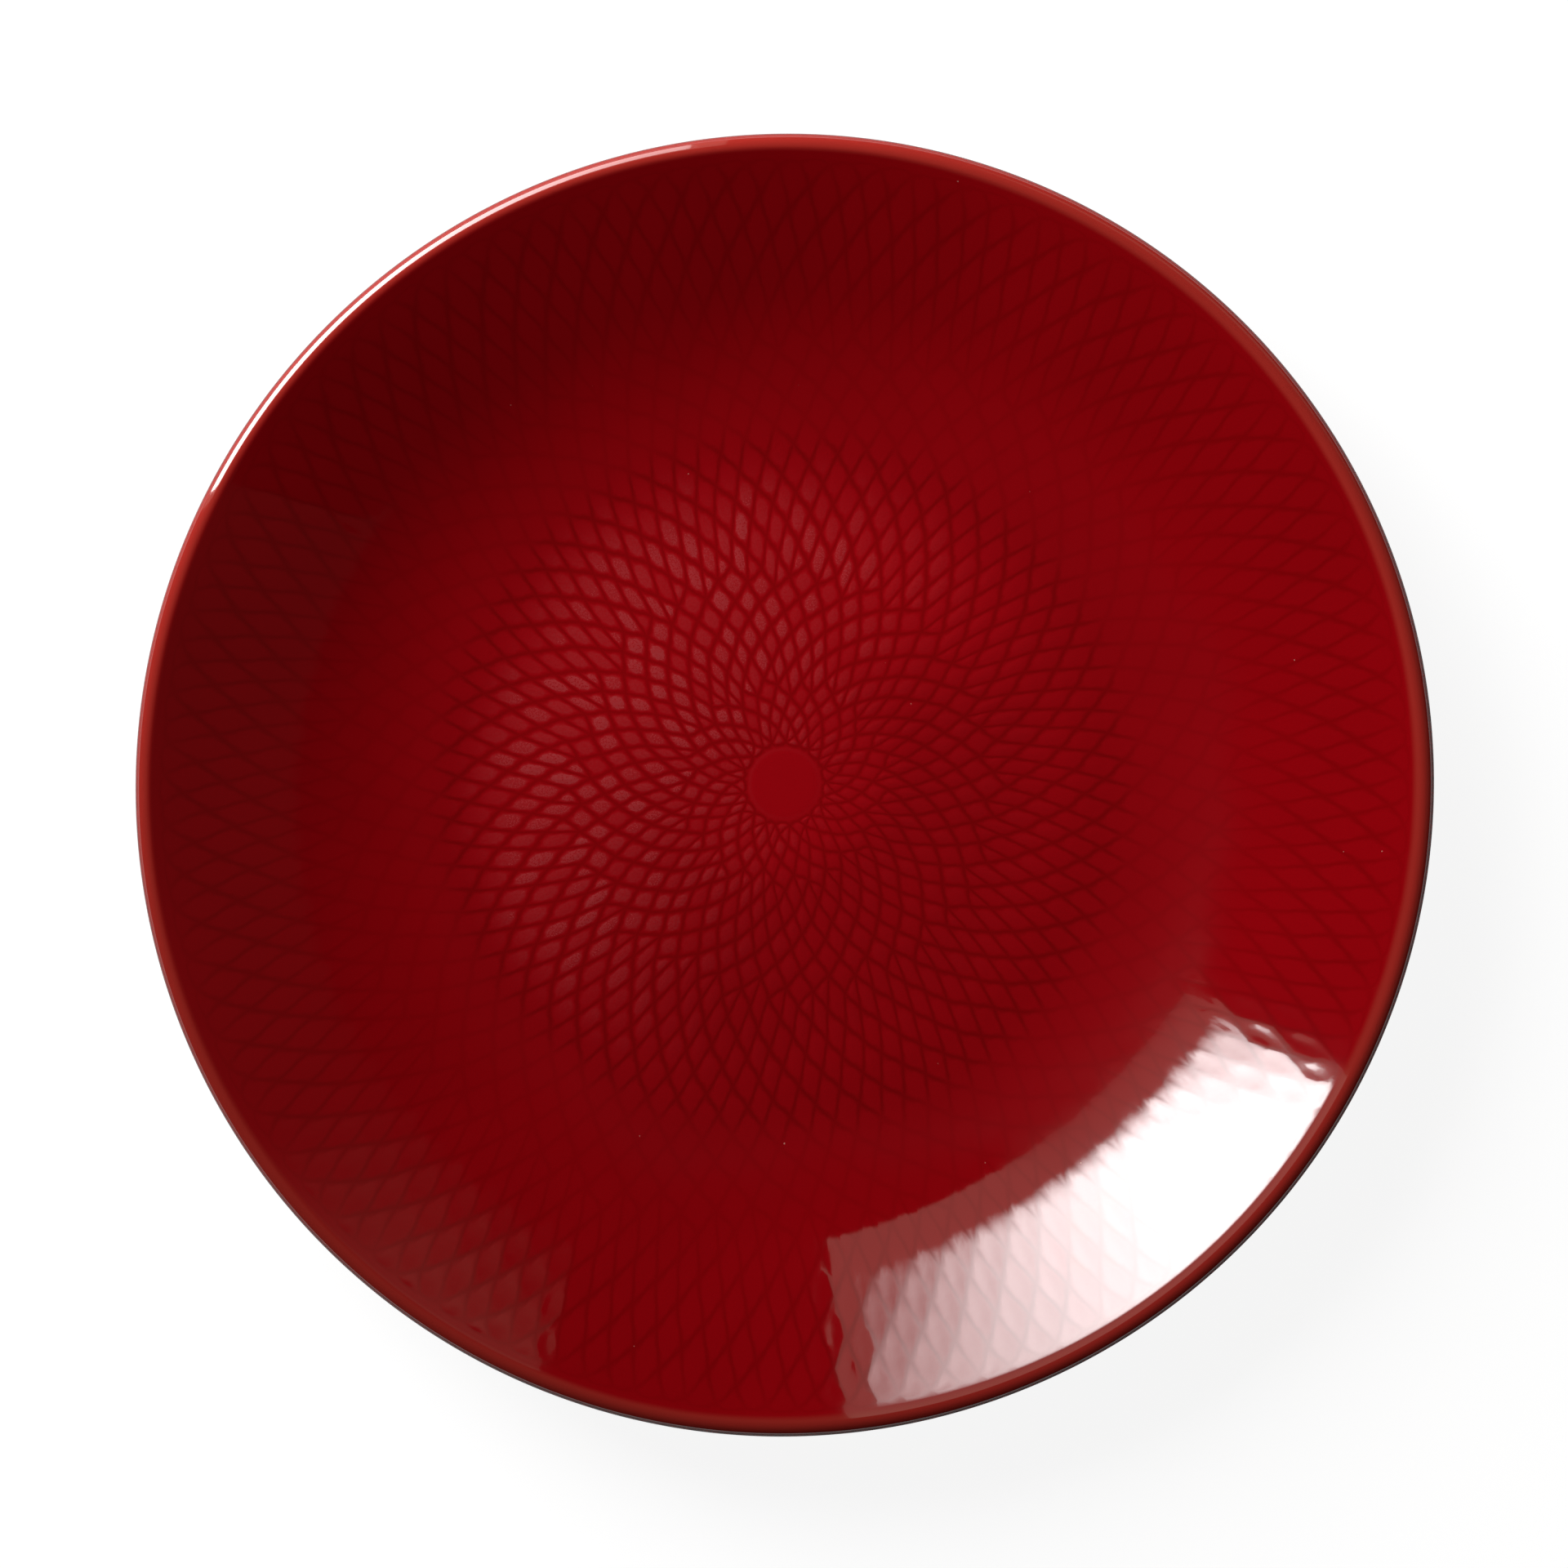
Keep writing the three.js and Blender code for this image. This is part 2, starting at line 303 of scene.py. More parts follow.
# %% Cells between the spirals
def step_index(left, right):
    """The seed from which two families of spirals would make too long cells."""
    scale = math.sqrt(5) * PAD_GROWTH / (2 * math.pi)
    return round((max(left, right) / PAD_STRETCH) ** 2 * scale - (left + right) / 2)


def next_families(left, right):
    """The next step of the series takes the place of its smaller number."""
    return (left + right, right) if left < right else (left, left + right)


def seed_cells():
    """The cells as lists of seed numbers, and the seeds on the inner and the outer circle."""
    left, right = 3, 2
    first_free = next(k for k in range(SEED_COUNT) if seed_radius(k) > relief_inner)
    while step_index(left, right) < first_free - left - right:
        left, right = next_families(left, right)
    index = first_free - left - right
    inner = list(range(index, index + left + right))
    cells = []
    while index < SEED_COUNT:
        last = min(SEED_COUNT, max(index, step_index(left, right)))
        cells += [[k, k + right, k + left + right, k + left] for k in range(index, last)]
        if last == SEED_COUNT:
            break
        larger = max(left, right)
        for k in range(last, last + larger):
            corners = [k, k + right, k + left + right, k + left]
            cells.append([c for c in corners if c != k + larger])
        index = last
        left, right = next_families(left, right)
    return cells, inner, list(range(SEED_COUNT, SEED_COUNT + left + right))


cells, inner_seeds, outer_seeds = seed_cells()
print(len(cells), "pads;", len(inner_seeds), "seeds at the button,", len(outer_seeds), "at the border")

# %% [markdown]
# ## The cage of the face coat
# The coat on the face is one closed skin: button, relief, plain border, the outer half of the
# lip's bead, and the side that lies on the clay. It starts as a coarse cage that a subdivision
# will smooth. The cage's rings take their angles from the seeds on the border, so every ring
# outside the relief has a point beside each seed and the quads run straight over the lip. A dense
# height map could carry the same relief, but its grid would cut across the grooves, while the
# cage's edges follow them.
# Each point also notes what the geometry nodes and the glaze need to know: whether it lies in a
# groove, how deep the relief is cut there, whether it belongs to the wall's true curve, and how
# many millimetres past the wall's end it lies.

# %% Cage helper
class Cage:
    """Points, faces and notes of a mesh that is built loop by loop."""

    def __init__(self):
        self.points, self.faces, self.pads = [], [], []
        self.notes = {"groove": [], "depth": [], "on_wall": [], "past_wall": []}

    def point(self, place, groove=0.0, depth=0.0, on_wall=0.0, past_wall=0.0):
        self.points.append(place)
        for name, value in zip(self.notes, (groove, depth, on_wall, past_wall)):
            self.notes[name].append(value)
        return len(self.points) - 1

    def ring(self, section_point, angles, **notes):
        radius, height = section_point
        return [self.point(polar(radius, angle, height), **notes) for angle in angles]

    def face(self, corners, pad=False):
        self.faces.append(corners)
        self.pads.append(pad)

    def bridge(self, first, second):
        """Quads that face up where the second loop is the wider one."""
        for k in range(len(first)):
            after = (k + 1) % len(first)
            self.face([first[k], second[k], second[after], first[after]])

    def fan(self, loop, centre, up):
        """Triangles from a loop to a point on the axis."""
        for k in range(len(loop)):
            pair = [loop[k], loop[(k + 1) % len(loop)]]
            self.face([centre] + (pair if up else pair[::-1]))

    def piece(self, name):
        """The cage as an object, with its notes as attributes of its mesh."""
        piece = piece_from(name, self.points, self.faces)
        for note, values in self.notes.items():
            piece.data.attributes.new(note, "FLOAT", "POINT").data.foreach_set("value", values)
        piece.data.attributes.new("pad", "BOOLEAN", "FACE").data.foreach_set("value", self.pads)
        return piece


# %% Depth of the relief
WELL_SHARE = 1.0  # the stamp pressed fully in the well
HEEL_SHARE = 0.15  # least where the heel bends up
WALL_SHARE = 0.27
BORDER_FADE = 0.45  # and it runs out towards the plain border
HEEL_FALL = (58 * MM, 76 * MM)
WALL_RISE = (90 * MM, 116 * MM)
BORDER_REACH = 5 * MM


def eased(value, low, high):
    """A value eased from 0 at low to 1 at high."""
    share = min(1.0, max(0.0, (value - low) / (high - low)))
    return share * share * (3 - 2 * share)


def relief_depth(radius):
    """Share of the full relief at a radius."""
    share = WELL_SHARE
    share += (HEEL_SHARE - WELL_SHARE) * eased(radius, *HEEL_FALL)
    share += (WALL_SHARE - HEEL_SHARE) * eased(radius, *WALL_RISE)
    return share * (1 - BORDER_FADE * eased(radius, relief_outer - BORDER_REACH, relief_outer))


print("relief at 0, 80 and 120 mm:", [round(relief_depth(radius * MM), 2) for radius in (0, 80, 120)])

# %% Pads and button
BUTTON_ROUNDING = 0.7 * MM
CREST = 0.06 * MM
INSIDE = -2.0  # the note past_wall of all that lies inside the plain border


def in_turn(seeds):
    return sorted(seeds, key=lambda index: (index * GOLDEN_ANGLE) % (2 * math.pi))


def angles_of(seeds):
    return [(index * GOLDEN_ANGLE) % (2 * math.pi) for index in in_turn(seeds)]


def cut_relief(cage):
    """The pads of the relief, and their corners by seed number."""
    seeds = {}
    for index in sorted({corner for cell in cells for corner in cell}):
        notes = {"groove": 1.0, "depth": relief_depth(seed_radius(index)), "on_wall": 1.0}
        seeds[index] = cage.point(seed_point(index), past_wall=INSIDE, **notes)
    for cell in cells:
        cage.face([seeds[index] for index in cell], pad=True)
    return seeds


def close_button(cage, seeds):
    """The plain button, from the innermost seeds to the axis."""
    crown = well_height + glaze + CREST
    loop = [seeds[index] for index in in_turn(inner_seeds)]
    for radius in (BUTTON_RADIUS, BUTTON_RADIUS - BUTTON_ROUNDING, BUTTON_RADIUS / 2):
        following = cage.ring((radius, crown), angles_of(inner_seeds), past_wall=INSIDE)
        cage.bridge(following, loop)
        loop = following
    cage.fan(loop, cage.point((0, 0, crown), past_wall=INSIDE), up=True)


# %% Border, lip and seat
BEAD_STEPS = 9
CONTACT_STEPS = 5
CORNER = 0.04 * MM  # rings this close to a corner keep it crisp under subdivision
parting_angle = wall_angle + math.pi / 2


def close_lip(cage, seeds):
    """The plain border, the outer half of the bead and the side that lies on the clay."""
    angles = angles_of(outer_seeds)
    count = len(angles)
    drift = sum(angle - 2 * math.pi * k / count for k, angle in enumerate(angles)) / count
    even = [drift + 2 * math.pi * k / count for k in range(count)]
    between = [(first + second) / 2 for first, second in zip(angles, even)]
    # A subdivision draws a ring in by this share, so the rings outside the wall start larger.
    swell = 1 / (1 - (1 - math.cos(2 * math.pi / count)) / 3)
    rings = []
    for radius, turns in zip(spread(relief_outer, wall_end_radius, 2)[1:], (between, even)):
        notes = {"on_wall": 1.0, "past_wall": (radius - wall_end_radius) / MM}
        rings.append(((radius, face_height(radius, glaze)), turns, notes))
    crisp_end = [parting_angle - CORNER / glazed_bead, parting_angle]
    for angle in spread(0, parting_angle, BEAD_STEPS)[1:-1] + crisp_end:
        radius, height = bead_section(glazed_bead, angle, angle, 1)[0]
        rings.append(((radius * swell, height), even, {"past_wall": glazed_bead * angle / MM}))
    inside = bead_section(bead, parting_angle, 0, BEAD_STEPS)
    wall_radii = spread(inside[-1][0], WELL_RADIUS, CONTACT_STEPS)[1:] + [WELL_RADIUS / 2]
    contact = [(radius, face_height(radius, 0)) for radius in wall_radii]
    for section_point in [(plate_radius - CORNER, lip_line)] + inside + contact:
        rings.append((section_point, even, {"past_wall": glazed_bead * parting_angle / MM}))

    loop = [seeds[index] for index in in_turn(outer_seeds)]
    for section_point, turns, notes in rings:
        following = cage.ring(section_point, turns, **notes)
        cage.bridge(loop, following)
        loop = following
    cage.fan(loop, cage.point((0, 0, well_height)), up=False)


# %% Face cage
face_cage = Cage()
seeds = cut_relief(face_cage)
close_button(face_cage, seeds)
close_lip(face_cage, seeds)
face_draft = face_cage.piece("face_cage")
print("cage of", len(face_draft.data.vertices), "points and", len(face_draft.data.polygons), "faces")

# %% [markdown]
# ## Writing node trees
# Geometry and shader trees are both written in code here. One small helper makes a node, sets it
# and feeds its inputs, and short names stand for the sums, so a tree reads as a list of steps.

# %% Node tree helper
class Nodes:
    """Writes a node tree one node at a time."""

    def __init__(self, tree):
        self.tree = tree

    def add(self, kind, inputs=None, **settings):
        node = self.tree.nodes.new(kind)
        for name, value in settings.items():
            setattr(node, name, value)
        for key, value in (inputs or {}).items():
            shown = [socket for socket in node.inputs if socket.enabled]
            socket = shown[key] if isinstance(key, int) else next(s for s in shown if s.name == key)
            if isinstance(value, bpy.types.NodeSocket):
                self.tree.links.new(value, socket)
            else:
                socket.default_value = value
        return node

    def math(self, operation, *values, clamp=False):
        inputs = dict(enumerate(values))
        return self.add("ShaderNodeMath", inputs, operation=operation, use_clamp=clamp).outputs[0]

    def plus(self, first, second):
        return self.math("ADD", first, second)

    def minus(self, first, second):
        return self.math("SUBTRACT", first, second)

    def times(self, first, second, clamp=False):
        return self.math("MULTIPLY", first, second, clamp=clamp)

    def line(self, value, slope, start):
        """The value times a slope, plus a start."""
        return self.math("MULTIPLY_ADD", value, slope, start)

    def rest(self, share):
        """What a share leaves of 1."""
        return self.minus(1.0, share)

    def upward(self, height):
        """A vector straight up."""
        return self.add("ShaderNodeCombineXYZ", {"Z": height}).outputs[0]

    def part(self, place, axis):
        """One coordinate of a place."""
        return self.add("ShaderNodeSeparateXYZ", {0: place}).outputs[axis]

    def plan(self, place):
        """A place brought down to the ground, and its radius from the plate's axis."""
        flat = self.add("ShaderNodeVectorMath", {0: place, 1: (1.0, 1.0, 0.0)}, operation="MULTIPLY")
        radius = self.add("ShaderNodeVectorMath", {0: flat.outputs[0]}, operation="LENGTH")
        return flat.outputs[0], radius.outputs["Value"]

    def along(self, place, direction):
        """How far a place lies in a direction."""
        node = self.add("ShaderNodeVectorMath", {0: place, 1: direction}, operation="DOT_PRODUCT")
        return node.outputs["Value"]

    def smooth(self, value, low, high):
        """A value eased from 0 at low to 1 at high."""
        inputs = {"Value": value, "From Min": low, "From Max": high}
        node = self.add("ShaderNodeMapRange", inputs, interpolation_type="SMOOTHSTEP")
        return node.outputs["Result"]


def numbers(values):
    """Sockets for plain numbers, each with its default value."""
    return {name: ("Float", value) for name, value in values.items()}


def sockets(tree, inputs, outputs):
    """Named inputs and outputs of a node group, each with its kind and its default value."""
    for direction, wanted in (("INPUT", inputs), ("OUTPUT", outputs)):
        for name, (kind, default) in wanted.items():
            socket = tree.interface.new_socket(name, in_out=direction, socket_type="NodeSocket" + kind)
            if default is not None:
                socket.default_value = default


# %% [markdown]
# ## Raising the pads
# On the real plate a stamp leaves the pads proud and the glaze fills the grooves between them.
# The pads are far too many to model one by one, but they all follow one rule, so geometry nodes
# raise them. Each pad's face is extruded by nothing and shrunk, which leaves a band round it: that
# band is the groove's slope. After a subdivision every point of the wall goes back to the wall's
# true curve, plus its share of the crest. Simply extruding the pads upwards would be quicker, but
# each would stay a flat facet and break the long reflection that a glossy wall shows.
# The same tree lets the lip roll over a little earlier on the side that the glaze ran towards.

# %% The coat's true curve
def note(nodes, name, data_type="FLOAT"):
    """A note of the cage, read back in the tree."""
    found = nodes.add("GeometryNodeInputNamedAttribute", {"Name": name}, data_type=data_type)
    return found.outputs["Attribute"]


def true_curve(nodes, given, radius):
    """Height of the coat at a radius, without its relief."""
    def arc_height(centre_height, arc, run):
        coat_arc = nodes.math("POWER", nodes.minus(arc, given["Coat"]), 2.0)
        fall = nodes.math("SQRT", nodes.minus(coat_arc, nodes.times(run, run)))
        return nodes.minus(centre_height, fall)

    heel_run = nodes.math("MAXIMUM", nodes.minus(radius, given["Well Radius"]), 0.0)
    heel_centre_height = nodes.plus(given["Well Height"], given["Heel Radius"])
    heel = arc_height(heel_centre_height, given["Heel Radius"], heel_run)
    wall_run = nodes.minus(radius, given["Wall Centre Radius"])
    wall = arc_height(given["Wall Centre Height"], given["Wall Radius"], wall_run)
    past_heel = nodes.math("GREATER_THAN", radius, given["Heel End"])
    return nodes.line(nodes.minus(wall, heel), past_heel, heel)


# %% Pads and lip
RUN_SIDE = Vector((0.77, -0.64, 0))  # the side that the glaze ran towards in the kiln
RUN_REACH = (70 * MM, 120 * MM)
ROLL_STARTS = (-1.7, 0.5)  # millimetres past the wall's end
ROLL_ENDS = (1.5, 5.0)


def raise_pads(nodes, given):
    """Gives every pad its own tone and a sloping band, then subdivides the whole coat."""
    pad = note(nodes, "pad", "BOOLEAN")
    limits = {"Min": -1.0, "Max": 1.0, "Seed": given["Seed"]}
    chance = nodes.add("FunctionNodeRandomValue", limits, data_type="FLOAT")
    tone = nodes.add("GeometryNodeStoreNamedAttribute", {
        "Geometry": given["Geometry"], "Selection": pad, "Name": "tone", "Value": chance.outputs[1],
    }, domain="FACE")
    raised = nodes.add("GeometryNodeExtrudeMesh", {
        "Mesh": tone.outputs[0], "Selection": pad, "Offset Scale": 0.0, "Individual": True,
    }, mode="FACES").outputs
    width = nodes.math("SQRT", nodes.add("GeometryNodeInputMeshFaceArea").outputs[0])
    loss = nodes.math("DIVIDE", nodes.times(given["Groove Half Width"], 2.0), width)
    share = nodes.math("MAXIMUM", nodes.rest(loss), given["Least Top"])
    shrunk = nodes.add("GeometryNodeScaleElements", {
        "Geometry": raised["Mesh"], "Selection": raised["Top"], "Scale": share,
    }, domain="FACE")
    crowned = nodes.add("GeometryNodeStoreNamedAttribute", {
        "Geometry": shrunk.outputs[0], "Selection": raised["Top"], "Name": "groove", "Value": 0.0,
    }, domain="POINT")
    fine = {"Mesh": crowned.outputs[0], "Level": given["Level"]}
    return nodes.add("GeometryNodeSubdivisionSurface", fine).outputs[0]


def settled_place(nodes, given, position):
    """Where a point of the wall belongs: on the true curve, plus its share of the crest."""
    flat, radius = nodes.plan(position)
    crest = nodes.times(given["Crest"], note(nodes, "depth"))
    uneven = nodes.line(note(nodes, "tone"), given["Crest Spread"], 1.0)
    rise = nodes.smooth(nodes.rest(note(nodes, "groove")), 0.0, 1.0)
    lift = nodes.times(nodes.times(crest, uneven), rise)
    height = nodes.plus(true_curve(nodes, given, radius), lift)
    target = nodes.add("ShaderNodeVectorMath", {0: flat, 1: nodes.upward(height)}, operation="ADD")
    choice = {"Factor": note(nodes, "on_wall"), "A": position, "B": target.outputs[0]}
    return nodes.add("ShaderNodeMix", choice, data_type="VECTOR").outputs[1]


def lip_offset(nodes, given, position):
    """How far the lip lies lower on the side that the glaze ran towards."""
    past = note(nodes, "past_wall")
    rolled = nodes.minus(nodes.smooth(past, *ROLL_STARTS), nodes.smooth(past, *ROLL_ENDS))
    run = nodes.smooth(nodes.along(position, RUN_SIDE), *RUN_REACH)
    drop = nodes.times(nodes.times(rolled, run), given["Lip Drop"])
    return nodes.upward(nodes.times(drop, -1.0))


# %% Relief tree
def relief_tree():
    tree = bpy.data.node_groups.new("raised_pads", "GeometryNodeTree")
    sizes = {
        "Groove Half Width": 1.25 * MM,
        "Least Top": 0.3,
        "Crest": CREST,
        "Crest Spread": 0.35,
        "Well Radius": WELL_RADIUS,
        "Well Height": well_height,
        "Heel Radius": HEEL_RADIUS,
        "Heel End": coat_heel_end,
        "Wall Radius": WALL_RADIUS,
        "Wall Centre Radius": wall_centre.x,
        "Wall Centre Height": wall_centre.y,
        "Coat": glaze,
        "Lip Drop": 0.13 * MM,
    }
    geometry = {"Geometry": ("Geometry", None)}
    others = {"Level": ("Int", 1), "Seed": ("Int", 5), "Glaze": ("Material", None)}
    sockets(tree, {**geometry, **numbers(sizes), **others}, geometry)
    nodes = Nodes(tree)
    given = nodes.add("NodeGroupInput").outputs
    fine = raise_pads(nodes, given)
    position = nodes.add("GeometryNodeInputPosition").outputs[0]
    result = nodes.add("GeometryNodeSetPosition", {
        "Geometry": fine,
        "Position": settled_place(nodes, given, position),
        "Offset": lip_offset(nodes, given, position),
    }).outputs[0]
    for kind, more in (
        ("GeometryNodeSetShadeSmooth", {}),
        ("GeometryNodeRealizeInstances", {}),
        ("GeometryNodeSetMaterial", {"Material": given["Glaze"]}),
    ):
        result = nodes.add(kind, {"Geometry": result, **more}).outputs[0]
    nodes.add("NodeGroupOutput", {"Geometry": result})
    return tree


relief_nodes = relief_tree()
print("nodes that raise the pads:", len(relief_nodes.nodes))

# %% [markdown]
# ## Shader helpers
# Both red coats share two effects. One is the skin of a fired glaze, with slow clouds, a fine peel
# and pinholes. The other is the way it breaks brown where it runs thin over the lip. Each is a
# node group, built once and placed in both materials with their own values. The groups put out
# only masks and heights; the shader itself stays in each material.

# %% Shader helpers
def shader_group(name, inputs, outputs):
    """An empty group of number sockets: the tree, its node writer and its inputs."""
    tree = bpy.data.node_groups.new(name, "ShaderNodeTree")
    sockets(tree, numbers(inputs), numbers(dict.fromkeys(outputs)))
    nodes = Nodes(tree)
    return tree, nodes, nodes.add("NodeGroupInput").outputs


def object_place(nodes):
    return nodes.add("ShaderNodeTexCoord").outputs["Object"]


def noise(nodes, place, scale, detail, roughness=0.5):
    inputs = {"Vector": place, "Scale": scale, "Detail": detail, "Roughness": roughness}
    return nodes.add("ShaderNodeTexNoise", inputs).outputs["Fac"]


def voronoi(nodes, place, scale):
    return nodes.add("ShaderNodeTexVoronoi", {"Vector": place, "Scale": scale}).outputs


# %% Skin of the glaze
CLOUD_EDGE = (0.3, 0.7)
GRAIN_EDGE = (0.35, 0.65)
PINHOLE_REACH = 0.02  # of the spacing, at most


def glaze_skin_group():
    """Clouds, peel, grain and pinholes, from the place on the object. Heights are in millimetres."""
    tree, nodes, given = shader_group("glaze_skin", {
        "Cloud Size": 40.0, "Peel Size": 3.0, "Peel Height": 0.004,
        "Grain Size": 0.45, "Pinhole Spacing": 9.0,
    }, ("Clouds", "Peel", "Grain", "Pinholes"))
    place = object_place(nodes)

    def scale_of(size):
        return nodes.math("DIVIDE", 1 / MM, given[size])

    clouds = nodes.smooth(noise(nodes, place, scale_of("Cloud Size"), detail=3.0), *CLOUD_EDGE)
    peel = nodes.times(noise(nodes, place, scale_of("Peel Size"), detail=1.0), given["Peel Height"])
    grain = noise(nodes, place, scale_of("Grain Size"), detail=2.0, roughness=0.7)
    grain = nodes.smooth(grain, *GRAIN_EDGE)
    spots = voronoi(nodes, place, scale_of("Pinhole Spacing"))
    chance = nodes.add("ShaderNodeSeparateColor", {0: spots["Color"]}).outputs[0]
    near = nodes.math("LESS_THAN", spots["Distance"], nodes.times(chance, PINHOLE_REACH))
    nodes.add("NodeGroupOutput", {"Clouds": clouds, "Peel": peel, "Grain": grain, "Pinholes": near})
    return tree


glaze_skin = glaze_skin_group()
print("group:", glaze_skin.name)

# %% Break over the lip
LIP_NOISE = 9.0  # how many in a metre
LIP_FADE_IN = (-0.8, 0.7)
LIP_FADE_OUT = (-0.3, 0.6)


def lip_break_group():
    """Where the glaze has run thin over the lip. Past Wall is in millimetres along the section.
    Lean is the millimetres by which the thin band starts earlier where the glaze ran."""
    tree, nodes, given = shader_group("lip_break", {
        "Past Wall": 0.0, "Starts": -0.2, "Ends": 6.2, "Wander": 1.0, "Lean": 0.8,
    }, ("Thin",))
    place = object_place(nodes)
    slow = noise(nodes, place, LIP_NOISE, detail=4.0, roughness=0.6)
    shift = nodes.times(nodes.minus(slow, 0.5), given["Wander"])
    run = nodes.math("DIVIDE", nodes.along(place, RUN_SIDE), plate_radius)
    past = nodes.plus(nodes.plus(given["Past Wall"], shift), nodes.times(run, given["Lean"]))
    starts = nodes.smooth(nodes.minus(past, given["Starts"]), *LIP_FADE_IN)
    ends = nodes.smooth(nodes.minus(given["Ends"], past), *LIP_FADE_OUT)
    nodes.add("NodeGroupOutput", {"Thin": nodes.times(starts, ends)})
    return tree


lip_break = lip_break_group()
print("group:", lip_break.name)


# %% Material helpers
def blank_tree(owner):
    """A writer for the emptied node tree of a material, a world or a lamp."""
    owner.use_nodes = True
    owner.node_tree.nodes.clear()
    return Nodes(owner.node_tree)


def material(name):
    """An empty material with its node writer and its Principled shader."""
    finish = bpy.data.materials.new(name)
    nodes = blank_tree(finish)
    shader = nodes.add("ShaderNodeBsdfPrincipled")
    nodes.add("ShaderNodeOutputMaterial", {"Surface": shader.outputs[0]})
    return finish, nodes, shader


def feed(nodes, shader, values):
    """Feeds the shader's sockets: a constant is set on the socket itself, a mask is linked."""
    for name, value in values.items():
        if isinstance(value, bpy.types.NodeSocket):
            nodes.tree.links.new(value, shader.inputs[name])
        else:
            shader.inputs[name].default_value = value


def mix_colour(nodes, factor, first, second):
    inputs = {"Factor": factor, "A": first, "B": second}
    return nodes.add("ShaderNodeMix", inputs, data_type="RGBA").outputs[2]


def scaled(nodes, colour, factor):
    """A colour made lighter or darker by a factor."""
    node = nodes.add("ShaderNodeVectorMath", {0: colour, "Scale": factor}, operation="SCALE")
    return node.outputs[0]


def attribute(nodes, name):
    return nodes.add("ShaderNodeAttribute", attribute_name=name).outputs["Fac"]


def bump(nodes, height):
    """A normal from a height in millimetres."""
    return nodes.add("ShaderNodeBump", {"Height": height, "Distance": MM}).outputs["Normal"]


# %% [markdown]
# ## The red glaze on the face
# A copper or selenium red is a deep, saturated colour with hardly any green or blue in it. It is
# darkest where it lies thick in the grooves and breaks to brown over the lip. In the well every
# pad's crest has a frosted, speckled bloom, partly real frost and partly a painted sheen that is
# lighter towards one side, while the wall is wet and glossy. Over the whole plate the colour is
# painted a little lighter towards one side, as painted light, and the well is darker in a ring
# towards another side.
# One flat red with a coat would get the hue but none of these. Most masks come from the mesh: how
# deep in a groove a point lies, how deep the relief is there, and how far past the wall it is.
# The rest come from the place on the plate: how far off its axis, and towards which side.

# %% Colours of the red glaze
PLAIN_RED = (0.222, 0.0007, 0.0028, 1)
FROSTED_SHEEN_RED = (0.240, 0.0160, 0.0185, 1)
POOLED_RED = (0.158, 0.0004, 0.0015, 1)
BROKEN_RED = (0.262, 0.0165, 0.0120, 1)
PINHOLE = (0.30, 0.10, 0.08, 1)
GLASSY = {"IOR": 1.5, "Coat Roughness": 0.02, "Coat IOR": 1.5}
PAINTED_LIGHT_LIP_SIDE = Vector((0.09, 0.996, 0))  # painted light: the lip's brown is painted lighter towards this side, duller on the opposite side
LIP_LEVEL = 0.84
PAINTED_LIP_LIGHT_GAIN = 2.0  # for one metre towards the light side


def over_lip(nodes, place, colour):
    """A coat's colour that breaks to brown where the glaze has run thin over the lip, with painted
    light: the brown is lighter towards one side.
    """
    past_wall = {"Past Wall": attribute(nodes, "past_wall")}
    thin = nodes.add("ShaderNodeGroup", past_wall, node_tree=lip_break).outputs["Thin"]
    # painted light: the lip's brown grows lighter towards one side
    lit_lip = nodes.line(nodes.along(place, PAINTED_LIGHT_LIP_SIDE), PAINTED_LIP_LIGHT_GAIN, LIP_LEVEL)
    return mix_colour(nodes, thin, colour, scaled(nodes, BROKEN_RED[:3], lit_lip))


# %% Masks of the face
WELL_EDGE = (52 * MM, 72 * MM)  # where the satin well ends
WET_EDGE = (77 * MM, 94 * MM)  # where the wall becomes fully wet
EDGE_WANDER = 8 * MM
WORN_SIDE = Vector((0.94, 0.34, 0))  # the wet gloss starts a little later on this side
WORN_REACH = (-10 * MM, 60 * MM)
WORN_SHIFT = 12 * MM
PAINTED_SHEEN_SIDE = Vector((-0.866, 0.5, 0))  # painted sheen: the crests are painted lighter towards this side
PAINTED_SHEEN_REACH = (-20 * MM, 35 * MM)
LEAST_PAINTED_SHEEN = 0.05
HOLLOW = (0.52, 1.0)  # the note groove is 1 in a groove and 0 on a pad's top
CREST_EDGE = (0.34, 0.72)
FULL_POOL = 0.42  # share of the full relief from which the glaze pools fully
SPECKLE = (0.5, 0.55)  # how the frost and sheen grow with the grain: a slope and a start
PAD_TONE = (0.36, 0.60)  # and with the pad's own tone


